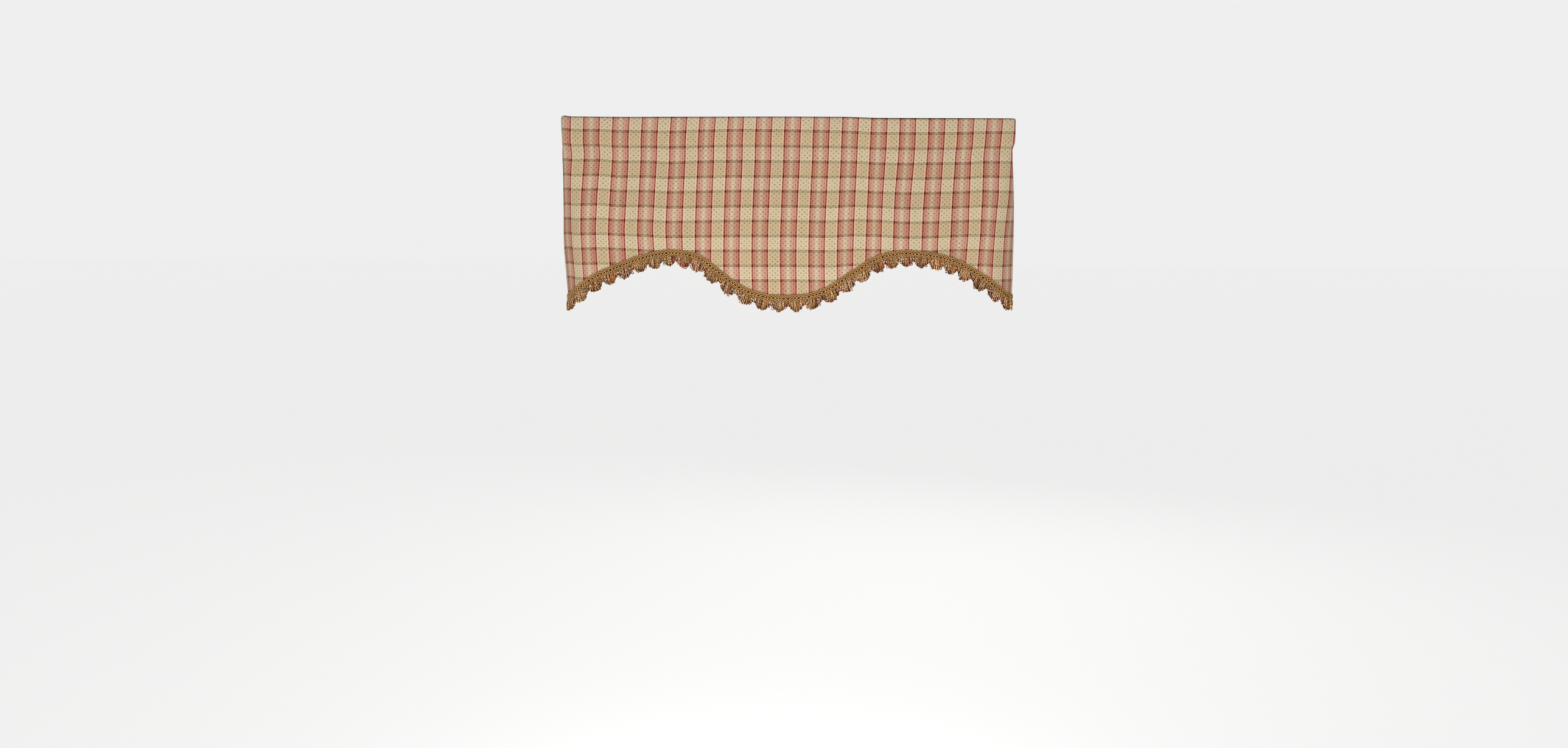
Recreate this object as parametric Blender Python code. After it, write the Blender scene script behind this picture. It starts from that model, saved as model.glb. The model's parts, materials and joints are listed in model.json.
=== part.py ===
"""Window valance: a shaped cloth with a rod pocket along its top and a looped trim along its scalloped hem.

Frame: X runs along the window, Y points to the wall, Z is up. The origin is the middle of the pocket's top edge.
A point of the cloth is named by two lengths measured on it: `along`, the distance from the middle line
(positive to the right, as seen from the room), and `drop`, the distance below a line just above the top edge.
Units are metres.
"""

from collections import namedtuple

import bmesh
import bpy
import numpy as np

# Sizes of the cut and sewn cloth
FINISHED_WIDTH = 1.295
CLOTH_THICKNESS = 0.0016
POCKET_DROP = 0.076
POCKET_GAP = 0.008
SEAM_HEIGHT = 0.0035

# Sizes of the trim
BRAID_HEIGHT = 0.017
BRAID_THICKNESS = 0.003
FRINGE_THICKNESS = 0.0036
FRINGE_BAR = 0.003
LOOP_LEAN = 0.55
HEM_TUCK = 0.0015
SCALLOP_PITCH = 0.041
SCALLOP_GAP = 0.002
LOOP_SHORT = 0.011
LOOP_LONG = 0.028
PIECE_GAP = 0.0003
FRINGE_DROP = 0.0005

# How finely the faceted solids follow the curves
PLAN_STEP = 0.0025
FACE_STEP = 0.0135
CORNER_STEP = 0.006
FOLD_STEPS = 4
SKIRT_ROWS = 6
TOOTH_STEPS = 3

# The line of the hem: the drop of the braid's upper edge, left and right of the middle
HemPoint = namedtuple("HemPoint", "distance left right")
HEM_LINE = (
    HemPoint(0.000, 0.454, 0.454),
    HemPoint(0.045, 0.451, 0.450),
    HemPoint(0.078, 0.444, 0.441),
    HemPoint(0.110, 0.432, 0.426),
    HemPoint(0.142, 0.412, 0.404),
    HemPoint(0.175, 0.387, 0.382),
    HemPoint(0.208, 0.362, 0.360),
    HemPoint(0.240, 0.346, 0.345),
    HemPoint(0.300, 0.338, 0.335),
    HemPoint(0.370, 0.350, 0.341),
    HemPoint(0.430, 0.372, 0.356),
    HemPoint(0.490, 0.397, 0.386),
    HemPoint(0.550, 0.435, 0.426),
    HemPoint(0.590, 0.456, 0.447),
    HemPoint(0.650, 0.460, 0.451),
)

# How the two corners hang: `reach` is how far the side stands from the middle, `turn` is the length of cloth
# that goes round the corner, and `swing` is how far the face hangs forward of the pocket
Corner = namedtuple("Corner", "drop reach_left turn_left reach_right turn_right swing")
CORNERS = (
    Corner(0.000, 0.5775, 0.026, 0.5768, 0.026, 0.000),
    Corner(0.060, 0.5762, 0.026, 0.5767, 0.026, 0.000),
    Corner(0.082, 0.5768, 0.031, 0.5717, 0.030, 0.000),
    Corner(0.150, 0.5780, 0.060, 0.5772, 0.052, 0.002),
    Corner(0.230, 0.5817, 0.098, 0.5835, 0.080, 0.006),
    Corner(0.320, 0.5855, 0.130, 0.5877, 0.110, 0.011),
    Corner(0.400, 0.5815, 0.146, 0.5884, 0.124, 0.016),
    Corner(0.480, 0.5755, 0.152, 0.5860, 0.130, 0.020),
)

# Soft folds of the skirt: each is a trough (positive, towards the wall) or a ridge (negative), with its place at
# the seam, the way it drifts over the skirt's height, its half width and its depth at the hem
Fold = namedtuple("Fold", "along drift half_width depth starts")
FOLDS = (
    Fold(-0.440, -0.020, 0.045, 0.0045, 0.076),
    Fold(-0.330, 0.015, 0.050, -0.0035, 0.120),
    Fold(-0.170, 0.000, 0.060, 0.0040, 0.150),
    Fold(-0.030, -0.010, 0.060, -0.0040, 0.120),
    Fold(0.085, 0.005, 0.045, 0.0035, 0.090),
    Fold(0.195, -0.010, 0.040, 0.0060, 0.076),
    Fold(0.300, 0.000, 0.055, -0.0045, 0.120),
    Fold(0.455, -0.006, 0.022, 0.0085, 0.060),
    Fold(0.505, 0.010, 0.030, -0.0035, 0.090),
)

# How the cloth runs along the pocket's top: `rise` is the height of the line that drops are measured from, and
# `turn_over` is the drop at which the cloth turns over to the back
EdgePoint = namedtuple("EdgePoint", "along rise turn_over")
TOP_EDGE = (
    EdgePoint(-0.650, 0.0034, 0.0055),
    EdgePoint(-0.600, 0.0044, 0.0055),
    EdgePoint(-0.572, 0.0059, 0.0055),
    EdgePoint(-0.545, 0.0030, 0.0048),
    EdgePoint(-0.420, 0.0032, 0.0054),
    EdgePoint(-0.300, 0.0034, 0.0047),
    EdgePoint(0.060, 0.0042, 0.0034),
    EdgePoint(0.130, 0.0042, 0.0034),
    EdgePoint(0.230, 0.0022, 0.0036),
    EdgePoint(0.560, 0.0022, 0.0029),
    EdgePoint(0.650, 0.0026, 0.0029),
)

# The pocket in section: how far the front layer's middle is set back at each drop. The last three rows are the
# stitched seam's top, its foot, and the start of the skirt.
SectionPoint = namedtuple("SectionPoint", "drop set_back")
FRONT_SECTION = (
    SectionPoint(0.0048, 0.0000),
    SectionPoint(0.036, -0.0008),
    SectionPoint(0.068, 0.0003),
    SectionPoint(0.0745, 0.0010),
    SectionPoint(0.078, 0.0010),
    SectionPoint(0.092, 0.0000),
)
SEAM_AND_SKIRT_ROWS = 3

# How the pocket's back comes forward to the seam: `height` above the seam's top, `share` of the pocket's depth,
# and the way its outer side faces there, to the wall and down
ClosingPoint = namedtuple("ClosingPoint", "height share to_wall down")
POCKET_CLOSING = (
    ClosingPoint(0.0100, 1.00, 1.0, 0.0),
    ClosingPoint(0.0042, 0.72, 0.8, 0.6),
)

SLANT_REACH = 0.004
SHARP_EDGE = np.radians(40)


def read(table, column, at):
    """Reads a column of a table at any place: a smooth curve through its rows, with no overshoot."""
    places = np.array([row[0] for row in table])
    values = np.array([getattr(row, column) for row in table])
    steps = np.diff(places)
    rates = np.diff(values) / steps
    slopes = np.zeros(len(values))
    same_way = rates[:-1] * rates[1:] > 0
    mean = 2 * rates[:-1] * rates[1:] / np.where(same_way, rates[:-1] + rates[1:], 1)
    slopes[1:-1] = np.where(same_way, mean, 0)
    slopes[0], slopes[-1] = rates[0], rates[-1]
    at = np.clip(at, places[0], places[-1])
    row = np.clip(np.searchsorted(places, at) - 1, 0, len(steps) - 1)
    t = (at - places[row]) / steps[row]
    blend = t * t * (3 - 2 * t)
    start_pull = t * (1 - t) ** 2
    end_pull = t * t * (t - 1)
    pulls = steps[row] * (start_pull * slopes[row] + end_pull * slopes[row + 1])
    return values[row] * (1 - blend) + values[row + 1] * blend + pulls


def braid_top(along):
    """Drop of the braid's upper edge."""
    distance = np.abs(along)
    return np.where(along < 0, read(HEM_LINE, "left", distance), read(HEM_LINE, "right", distance))


def hem_slant(along):
    """Slope of the hem line in the cloth's own plane."""
    return (braid_top(along + SLANT_REACH) - braid_top(along - SLANT_REACH)) / (2 * SLANT_REACH)


def fold_slope(along, drop):
    """Slope that the soft folds give the cloth in plan, towards the wall as `along` grows."""
    slope = np.zeros(np.broadcast(along, drop).shape)
    deepest = CORNERS[-1].drop
    for fold in FOLDS:
        grown = np.clip((drop - fold.starts) / (deepest - fold.starts), 0, 1)
        middle = fold.along + fold.drift * grown
        t = (along - middle) / fold.half_width
        slope += -2 * t * np.exp(-t * t) * fold.depth / fold.half_width * np.sqrt(grown)
    return slope


def plan_of_side(side, drop):
    """One side's front layer in plan at a drop: distances from the middle, and x, y and heading at each."""
    name = "left" if side < 0 else "right"
    reach = read(CORNERS, "reach_" + name, drop)
    turn = read(CORNERS, "turn_" + name, drop)
    radius = turn / (np.pi / 2)
    distance = np.arange(0, FINISHED_WIDTH / 2 + PLAN_STEP, PLAN_STEP)
    folds = np.arctan(side * fold_slope(side * distance, drop))
    taken_up = np.sum(1 - np.cos(folds)) * PLAN_STEP
    turn_start = reach - radius + taken_up
    corner = np.clip((distance - turn_start) / turn, 0, 1)
    heading = folds * (1 - corner) + corner * np.pi / 2
    middle = (heading[1:] + heading[:-1]) / 2
    x = np.concatenate([[0], np.cumsum(np.cos(middle))]) * PLAN_STEP
    y = np.concatenate([[0], np.cumsum(np.sin(middle))]) * PLAN_STEP
    return distance, x, y, heading


def front_layer(along, drop, set_back=0.0):
    """A point of the front layer, moved `set_back` from the layer's middle towards its inner side."""
    side = -1 if along < 0 else 1
    distance, x, y, heading = plan_of_side(side, drop)
    at = abs(along)
    x = side * np.interp(at, distance, x)
    y = np.interp(at, distance, y)
    heading = np.interp(at, distance, heading)
    front = -(POCKET_GAP + CLOTH_THICKNESS) / 2 - read(CORNERS, "swing", drop)
    rise = read(TOP_EDGE, "rise", along)
    return (
        x - side * np.sin(heading) * set_back,
        front + y + np.cos(heading) * set_back,
        rise - drop,
    )


def stations():
    """Distances along the cloth at which it is cut into sections: closer together at the corners."""
    half = FINISHED_WIDTH / 2
    corner_start = CORNERS[0].reach_right - CORNERS[0].turn_right / (np.pi / 2)
    corner_end = corner_start + CORNERS[0].turn_right
    corner_count = 1 + round((corner_end - corner_start) / CORNER_STEP)
    face_count = 1 + round((corner_start - CORNER_STEP) / FACE_STEP)
    return_count = 1 + round((half - corner_end) / FACE_STEP)
    right = np.concatenate([
        np.linspace(0, corner_start - CORNER_STEP, face_count),
        np.linspace(corner_start, corner_end, corner_count),
        np.linspace(corner_end, half, return_count + 1)[1:],
    ])
    return np.concatenate([-right[:0:-1], right])


def section(along):
    """One section across the cloth: the loop round the outside and the loop round the pocket's inside."""
    half_cloth = CLOTH_THICKNESS / 2
    back = POCKET_GAP + CLOTH_THICKNESS
    radius = back / 2
    roll = radius + float(read(TOP_EDGE, "turn_over", along))
    seam_top = POCKET_DROP - SEAM_HEIGHT / 2
    seam_foot = POCKET_DROP + SEAM_HEIGHT / 2
    hem = float(braid_top(along) + (BRAID_HEIGHT - HEM_TUCK) * np.hypot(1, hem_slant(along)))
    skirt_start = FRONT_SECTION[-1].drop
    skirt = list(np.linspace(skirt_start, hem, SKIRT_ROWS))
    above = [roll] + [row.drop for row in FRONT_SECTION[1:-SEAM_AND_SKIRT_ROWS]]

    def front(drop, offset):
        return front_layer(along, drop, float(read(FRONT_SECTION, "set_back", drop)) + offset)

    def back_layer(offset):
        """The fold over the top and the pocket's back, from the front layer down to the seam."""
        angles = np.linspace(0, np.pi, FOLD_STEPS + 1)[1:-1]
        size = radius + offset
        fold = [(radius - size * np.cos(a), roll - size * np.sin(a)) for a in angles]
        straight = [(back + offset, roll)]
        closing = [
            (back * row.share + offset * row.to_wall, seam_top - row.height + offset * row.down)
            for row in POCKET_CLOSING
        ]
        return [front_layer(along, drop, set_back) for set_back, drop in fold + straight + closing]

    outer = [front(drop, -half_cloth) for drop in reversed(skirt)]
    outer += [front(drop, -half_cloth) for drop in (seam_foot, seam_top)]
    outer += [front(drop, -half_cloth) for drop in reversed(above)]
    outer += back_layer(half_cloth)
    outer += [front(seam_foot, half_cloth)]
    outer += [front(drop, half_cloth) for drop in skirt]
    inner = [front(seam_top, half_cloth)]
    inner += [front(drop, half_cloth) for drop in reversed(above)]
    inner += back_layer(-half_cloth)
    return outer, inner


def add_cap(mesh, outer, inner, flip):
    """Closes an end of the cloth: a strip of faces across its thickness, with the pocket left open."""
    skirt = SKIRT_ROWS
    above = len(FRONT_SECTION) - SEAM_AND_SKIRT_ROWS
    back = len(inner) - 1 - above
    seam_foot_front = skirt
    seam_top_front = skirt + 1
    back_start = seam_top_front + above + 1
    seam_foot_back = back_start + back
    faces = []
    for k in range(skirt - 1):
        faces.append((outer[k], outer[k + 1], outer[-2 - k], outer[-1 - k]))
    faces.append((outer[skirt - 1], outer[seam_foot_front], outer[seam_foot_back], outer[seam_foot_back + 1]))
    faces.append((outer[seam_foot_front], outer[seam_top_front], inner[0], outer[seam_foot_back]))
    for k in range(above + back):
        faces.append((outer[seam_top_front + k], outer[seam_top_front + k + 1], inner[k + 1], inner[k]))
    faces.append((outer[back_start + back - 1], outer[seam_foot_back], inner[0], inner[-1]))
    for face in faces:
        mesh.faces.new(face if flip else face[::-1])


def make_panel():
    """The valance cloth in one piece: face, returns, and the pocket turned over the top and sewn down behind."""
    mesh = bmesh.new()
    rings = []
    for along in stations():
        outer, inner = section(along)
        rings.append(([mesh.verts.new(p) for p in outer], [mesh.verts.new(p) for p in inner]))
    for (outer_a, inner_a), (outer_b, inner_b) in zip(rings, rings[1:]):
        for ring_a, ring_b, inside in ((outer_a, outer_b, False), (inner_a, inner_b, True)):
            for k in range(len(ring_a)):
                following = (k + 1) % len(ring_a)
                face = (ring_a[k], ring_b[k], ring_b[following], ring_a[following])
                mesh.faces.new(face[::-1] if inside else face)
    add_cap(mesh, *rings[0], flip=True)
    add_cap(mesh, *rings[-1], flip=False)
    return finish_object(mesh, "valance_panel", (0.66, 0.45, 0.28), 0.85)


def finish_object(mesh, name, colour, roughness):
    """Turns a bmesh into a named object with its own material."""
    bmesh.ops.recalc_face_normals(mesh, faces=mesh.faces)
    bmesh.ops.triangulate(mesh, faces=mesh.faces)
    data = bpy.data.meshes.new(name)
    mesh.to_mesh(data)
    mesh.free()
    data.shade_smooth()
    data.set_sharp_from_angle(angle=SHARP_EDGE)
    piece = bpy.data.objects.new(name, data)
    bpy.context.scene.collection.objects.link(piece)
    material = bpy.data.materials.new(name)
    material.use_nodes = True
    shader = material.node_tree.nodes["Principled BSDF"]
    shader.inputs["Base Color"].default_value = (*colour, 1)
    shader.inputs["Roughness"].default_value = roughness
    shader.inputs["Metallic"].default_value = 0
    data.materials.append(material)
    return piece


def on_trim(along, down_braid, hang, set_back):
    """A point of the trim: `down_braid` below the braid's upper edge, then `hang` down a loop.

    Loops hang between square to the braid and straight down.
    """
    slant = float(hem_slant(along))
    drop = float(braid_top(along)) + down_braid * np.hypot(1, slant)
    lean = LOOP_LEAN * np.arctan(slant)
    return front_layer(along - hang * np.sin(lean), drop + hang * np.cos(lean), set_back)


def make_strip(name, columns, front_back, filled, colour, roughness):
    """A closed strip from a grid of points.

    `columns` holds, for each place along the strip, its (along, down_braid, hang) points from top to bottom.
    `front_back` holds the strip's two distances from the cloth's middle layer.
    `filled(column, row)` says whether the cell that starts there is part of the strip.
    """
    mesh = bmesh.new()
    count, rows = len(columns), len(columns[0])
    used = {(c, r) for c in range(count - 1) for r in range(rows - 1) if filled(c, r)}
    points = {}

    def point(c, r, layer):
        if (c, r, layer) not in points:
            points[c, r, layer] = mesh.verts.new(on_trim(*columns[c][r], front_back[layer]))
        return points[c, r, layer]

    for c, r in sorted(used):
        corners = ((c, r), (c, r + 1), (c + 1, r + 1), (c + 1, r))
        mesh.faces.new([point(*corner, 0) for corner in corners])
        mesh.faces.new([point(*corner, 1) for corner in reversed(corners)])
        neighbours = ((c - 1, r), (c, r + 1), (c + 1, r), (c, r - 1))
        for k, neighbour in enumerate(neighbours):
            if neighbour not in used:
                a, b = corners[k], corners[(k + 1) % 4]
                mesh.faces.new([point(*a, 0), point(*a, 1), point(*b, 1), point(*b, 0)])
    return finish_object(mesh, name, colour, roughness)


def make_braid():
    """The woven heading of the trim, sewn to the front of the cloth along its hem."""
    columns = [[(along, 0, 0), (along, BRAID_HEIGHT, 0)] for along in stations()]
    front = -CLOTH_THICKNESS / 2 - PIECE_GAP
    layers = (front - BRAID_THICKNESS, front)
    return make_strip("braid_heading", columns, layers, lambda c, r: True, (0.36, 0.21, 0.07), 0.7)


def make_fringe():
    """The loops below the braid, as one comb: a bar along the braid and a rounded tooth for each scallop."""
    teeth = round(FINISHED_WIDTH / SCALLOP_PITCH)
    pitch = FINISHED_WIDTH / teeth
    gap = SCALLOP_GAP / pitch
    top = BRAID_HEIGHT + FRINGE_DROP
    columns = []
    in_tooth = []
    for tooth in range(teeth):
        for step, across in enumerate(np.linspace(gap / 2, 1 - gap / 2, TOOTH_STEPS + 1)):
            along = (tooth + across - teeth / 2) * pitch
            length = LOOP_SHORT + (LOOP_LONG - LOOP_SHORT) * np.sin(np.pi * across)
            columns.append([(along, top, 0), (along, top, FRINGE_BAR), (along, top, length)])
            in_tooth.append(step < TOOTH_STEPS)
    front = -CLOTH_THICKNESS / 2 - PIECE_GAP
    layers = (front - FRINGE_THICKNESS, front)
    return make_strip(
        "loop_fringe", columns, layers, lambda c, r: r == 0 or in_tooth[c], (0.42, 0.22, 0.09), 0.75
    )


def main():
    for old in list(bpy.data.objects):
        bpy.data.objects.remove(old)
    bpy.context.scene.unit_settings.system = "METRIC"
    panel = make_panel()
    braid = make_braid()
    braid.parent = panel
    make_fringe().parent = braid


main()
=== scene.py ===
"""Looks of the window valance: checked cloth hung from a rod pocket, with a braid and looped yarn at its hem.

Frame: X runs along the window, Y points to the wall, Z is up. The origin is the middle of the pocket's top
edge.
A point of the cloth is named by two lengths measured on it: `along`, the distance from the middle line
(positive to the right, as seen from the room), and `drop`, the distance below the top edge. Units are metres.
"""

import json
from collections import namedtuple

import bpy
import numpy as np
from mathutils import Matrix, Vector

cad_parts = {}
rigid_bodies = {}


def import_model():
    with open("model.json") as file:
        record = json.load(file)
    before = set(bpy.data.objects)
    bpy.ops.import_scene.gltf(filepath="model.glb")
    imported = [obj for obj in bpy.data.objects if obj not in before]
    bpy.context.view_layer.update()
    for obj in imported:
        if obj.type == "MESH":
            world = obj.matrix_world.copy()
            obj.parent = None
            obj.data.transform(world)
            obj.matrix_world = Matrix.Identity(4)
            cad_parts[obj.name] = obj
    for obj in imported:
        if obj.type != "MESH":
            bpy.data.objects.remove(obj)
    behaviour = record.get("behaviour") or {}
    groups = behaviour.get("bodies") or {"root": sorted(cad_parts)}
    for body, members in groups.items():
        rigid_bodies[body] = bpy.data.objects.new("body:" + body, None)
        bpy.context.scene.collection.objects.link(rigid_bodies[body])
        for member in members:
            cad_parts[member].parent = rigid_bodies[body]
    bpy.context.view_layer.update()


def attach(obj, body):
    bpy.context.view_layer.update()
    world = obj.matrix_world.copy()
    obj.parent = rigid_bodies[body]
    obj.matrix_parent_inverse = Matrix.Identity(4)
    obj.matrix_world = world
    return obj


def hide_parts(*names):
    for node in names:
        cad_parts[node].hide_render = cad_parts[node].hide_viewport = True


bl_info = {
    "name": "Window Valance",
    "version": (1, 0, 0),
    "blender": (4, 5, 0),
    "location": "View3D > Sidebar > Valance",
    "description": "Builds a rod pocket valance in checked cloth, with a braid and looped yarn along its hem",
    "category": "Add Mesh",
}

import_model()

MM = 0.001

# ----------------------------------------------------------------------
# How the cloth is cut and how it hangs. These are the part's own sizes.


def table(columns, *rows):
    """A table with named columns."""
    row_type = namedtuple("Row", columns)
    return tuple(row_type(*row) for row in rows)


FINISHED_WIDTH = 1.295
HALF_WIDTH = FINISHED_WIDTH / 2
CLOTH_THICKNESS = 0.0016
POCKET_DROP = 0.076
POCKET_GAP = 0.008
BRAID_HEIGHT = 0.017
LOOP_LEAN = 0.55
HEM_TUCK = 0.0015

# The line of the hem: the drop of the braid's upper edge, left and right of the middle
HEM_LINE = table(
    "distance left right",
    (0.000, 0.454, 0.454),
    (0.045, 0.451, 0.450),
    (0.078, 0.444, 0.441),
    (0.110, 0.432, 0.426),
    (0.142, 0.412, 0.404),
    (0.175, 0.387, 0.382),
    (0.208, 0.362, 0.360),
    (0.240, 0.346, 0.345),
    (0.300, 0.338, 0.335),
    (0.370, 0.350, 0.341),
    (0.430, 0.372, 0.356),
    (0.490, 0.397, 0.386),
    (0.550, 0.435, 0.426),
    (0.590, 0.456, 0.447),
    (0.650, 0.460, 0.451),
)

# How the two corners hang: `reach` is how far the side stands from the middle, `turn` is the length of cloth
# that goes round the corner, and `swing` is how far the face hangs forward of the pocket
CORNERS = table(
    "drop reach_left turn_left reach_right turn_right swing",
    (0.000, 0.5775, 0.026, 0.5768, 0.026, 0.000),
    (0.060, 0.5762, 0.026, 0.5767, 0.026, 0.000),
    (0.082, 0.5768, 0.031, 0.5717, 0.030, 0.000),
    (0.150, 0.5780, 0.060, 0.5772, 0.052, 0.002),
    (0.230, 0.5817, 0.098, 0.5835, 0.080, 0.006),
    (0.320, 0.5855, 0.130, 0.5877, 0.110, 0.011),
    (0.400, 0.5815, 0.146, 0.5884, 0.124, 0.016),
    (0.480, 0.5755, 0.152, 0.5860, 0.130, 0.020),
)

# Soft folds of the skirt, troughs (towards the wall) and ridges: the place at the seam, the drift over the
# skirt's height, the half width, the depth at the hem and the drop where the fold starts
FOLDS = table(
    "along drift half_width depth starts",
    (-0.440, -0.020, 0.045, 0.0045, 0.076),
    (-0.330, 0.015, 0.050, -0.0035, 0.120),
    (-0.170, 0.000, 0.060, 0.0040, 0.150),
    (-0.030, -0.010, 0.060, -0.0040, 0.120),
    (0.085, 0.005, 0.045, 0.0035, 0.090),
    (0.195, -0.010, 0.040, 0.0060, 0.076),
    (0.300, 0.000, 0.055, -0.0045, 0.120),
    (0.455, -0.006, 0.022, 0.0085, 0.060),
    (0.505, 0.010, 0.030, -0.0035, 0.090),
)

# How the cloth runs along the pocket's top: `rise` is the height of the line that drops are measured from,
# and `turn_over` is the drop at which the cloth turns over to the back
TOP_EDGE = table(
    "along rise turn_over",
    (-0.650, 0.0034, 0.0055),
    (-0.600, 0.0044, 0.0055),
    (-0.572, 0.0059, 0.0055),
    (-0.545, 0.0030, 0.0048),
    (-0.420, 0.0032, 0.0054),
    (-0.300, 0.0034, 0.0047),
    (0.060, 0.0042, 0.0034),
    (0.130, 0.0042, 0.0034),
    (0.230, 0.0022, 0.0036),
    (0.560, 0.0022, 0.0029),
    (0.650, 0.0026, 0.0029),
)

# The front layer in section: how far it is set back at each drop, with a groove at the pocket's seam
FRONT_SECTION = table(
    "drop set_back",
    (0.0048, 0.0000),
    (0.036, -0.0008),
    (0.068, 0.0003),
    (0.0745, 0.0010),
    (0.078, 0.0010),
    (0.092, 0.0000),
)

# Waves of the puckers and creases: the length, the size in millimetres and the start of each
SEAM_PUCKERS = ((0.0131, 0.22, 0.1), (0.0187, 0.18, 0.6), (0.0093, 0.12, 0.3))
SEAM_PLEATS = ((0.031, 0.30, 0.2), (0.047, 0.25, 0.7), (0.0213, 0.18, 0.45))
HEM_PUCKERS = ((0.0235, 0.22, 0.35), (0.0391, 0.30, 0.8), (0.0173, 0.12, 0.15))
ROD_CREASES = ((0.083, 0.25, 0.4), (0.061, 0.2, 0.05), (0.137, 0.35, 0.9))
SKIRT_SWAY = ((0.113, 0.45, 0.25), (0.0713, 0.3, 0.55))
SKIRT_SWAY_DOWN = ((0.19, 0.7, 0.1), (0.31, 0.5, 0.4))

PLAN_STEP = 0.0025
PLAN_ROW = 0.002
PLAN_DEEPEST = 0.52
PLAN_WIDEST = HALF_WIDTH + 0.03
TRIM_POINTS = 2591
SLANT_REACH = 0.004


def read(rows, column, at):
    """Reads a column of a table at any place: a smooth curve through its rows, with no overshoot."""
    places = np.array([row[0] for row in rows])
    values = np.array([getattr(row, column) for row in rows])
    steps = np.diff(places)
    rates = np.diff(values) / steps
    slopes = np.zeros(len(values))
    same_way = rates[:-1] * rates[1:] > 0
    mean = 2 * rates[:-1] * rates[1:] / np.where(same_way, rates[:-1] + rates[1:], 1)
    slopes[1:-1] = np.where(same_way, mean, 0)
    slopes[0], slopes[-1] = rates[0], rates[-1]
    at = np.clip(at, places[0], places[-1])
    row = np.clip(np.searchsorted(places, at) - 1, 0, len(steps) - 1)
    t = (at - places[row]) / steps[row]
    blend = t * t * (3 - 2 * t)
    start_pull = t * (1 - t) ** 2
    end_pull = t * t * (t - 1)
    pulls = steps[row] * (start_pull * slopes[row] + end_pull * slopes[row + 1])
    return values[row] * (1 - blend) + values[row + 1] * blend + pulls


def smooth(start, end, at):
    """A soft step from 0 at `start` to 1 at `end`."""
    t = np.clip((at - start) / (end - start), 0, 1)
    return t * t * (3 - 2 * t)


def braid_top(along):
    """Drop of the braid's upper edge."""
    distance = np.abs(along)
    return np.where(along < 0, read(HEM_LINE, "left", distance), read(HEM_LINE, "right", distance))


def hem_slant(along):
    """Slope of the hem line in the cloth's own plane."""
    return (braid_top(along + SLANT_REACH) - braid_top(along - SLANT_REACH)) / (2 * SLANT_REACH)


def fold_slope(along, drop):
    """Slope that the soft folds give the cloth in plan, towards the wall as `along` grows."""
    slope = np.zeros(np.broadcast(along, drop).shape)
    deepest = CORNERS[-1].drop
    for fold in FOLDS:
        grown = np.clip((drop - fold.starts) / (deepest - fold.starts), 0, 1)
        middle = fold.along + fold.drift * grown
        t = (along - middle) / fold.half_width
        slope += -2 * t * np.exp(-t * t) * fold.depth / fold.half_width * np.sqrt(grown)
    return slope


def ripple(at, *waves):
    """A sum of sine waves, each (length, size, start)."""
    return sum(size * np.sin(2 * np.pi * (at / length + start)) for length, size, start in waves)


def relief(along, drop):
    """Small puckers and creases of the sewn cloth, as an extra set-back."""
    below = drop - POCKET_DROP
    at_seam = np.exp(-((below / 0.0055) ** 2))
    below_seam = smooth(-0.004, 0.006, below) * np.exp(-below / 0.030)
    at_hem = np.exp(-np.clip(braid_top(along) - drop, 0, None) / 0.018)
    in_pocket = smooth(0.004, 0.02, drop) * smooth(0, -0.02, below)
    in_skirt = smooth(0, 0.05, below)
    sway = ripple(along + 0.15 * drop, *SKIRT_SWAY) * ripple(drop + 0.1 * along, *SKIRT_SWAY_DOWN)
    total = at_seam * ripple(along, *SEAM_PUCKERS) + below_seam * ripple(along + 0.02 * drop, *SEAM_PLEATS)
    total += at_hem * ripple(along, *HEM_PUCKERS) + in_pocket * ripple(along - 0.3 * drop, *ROD_CREASES)
    return (total + in_skirt * sway) * MM


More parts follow.
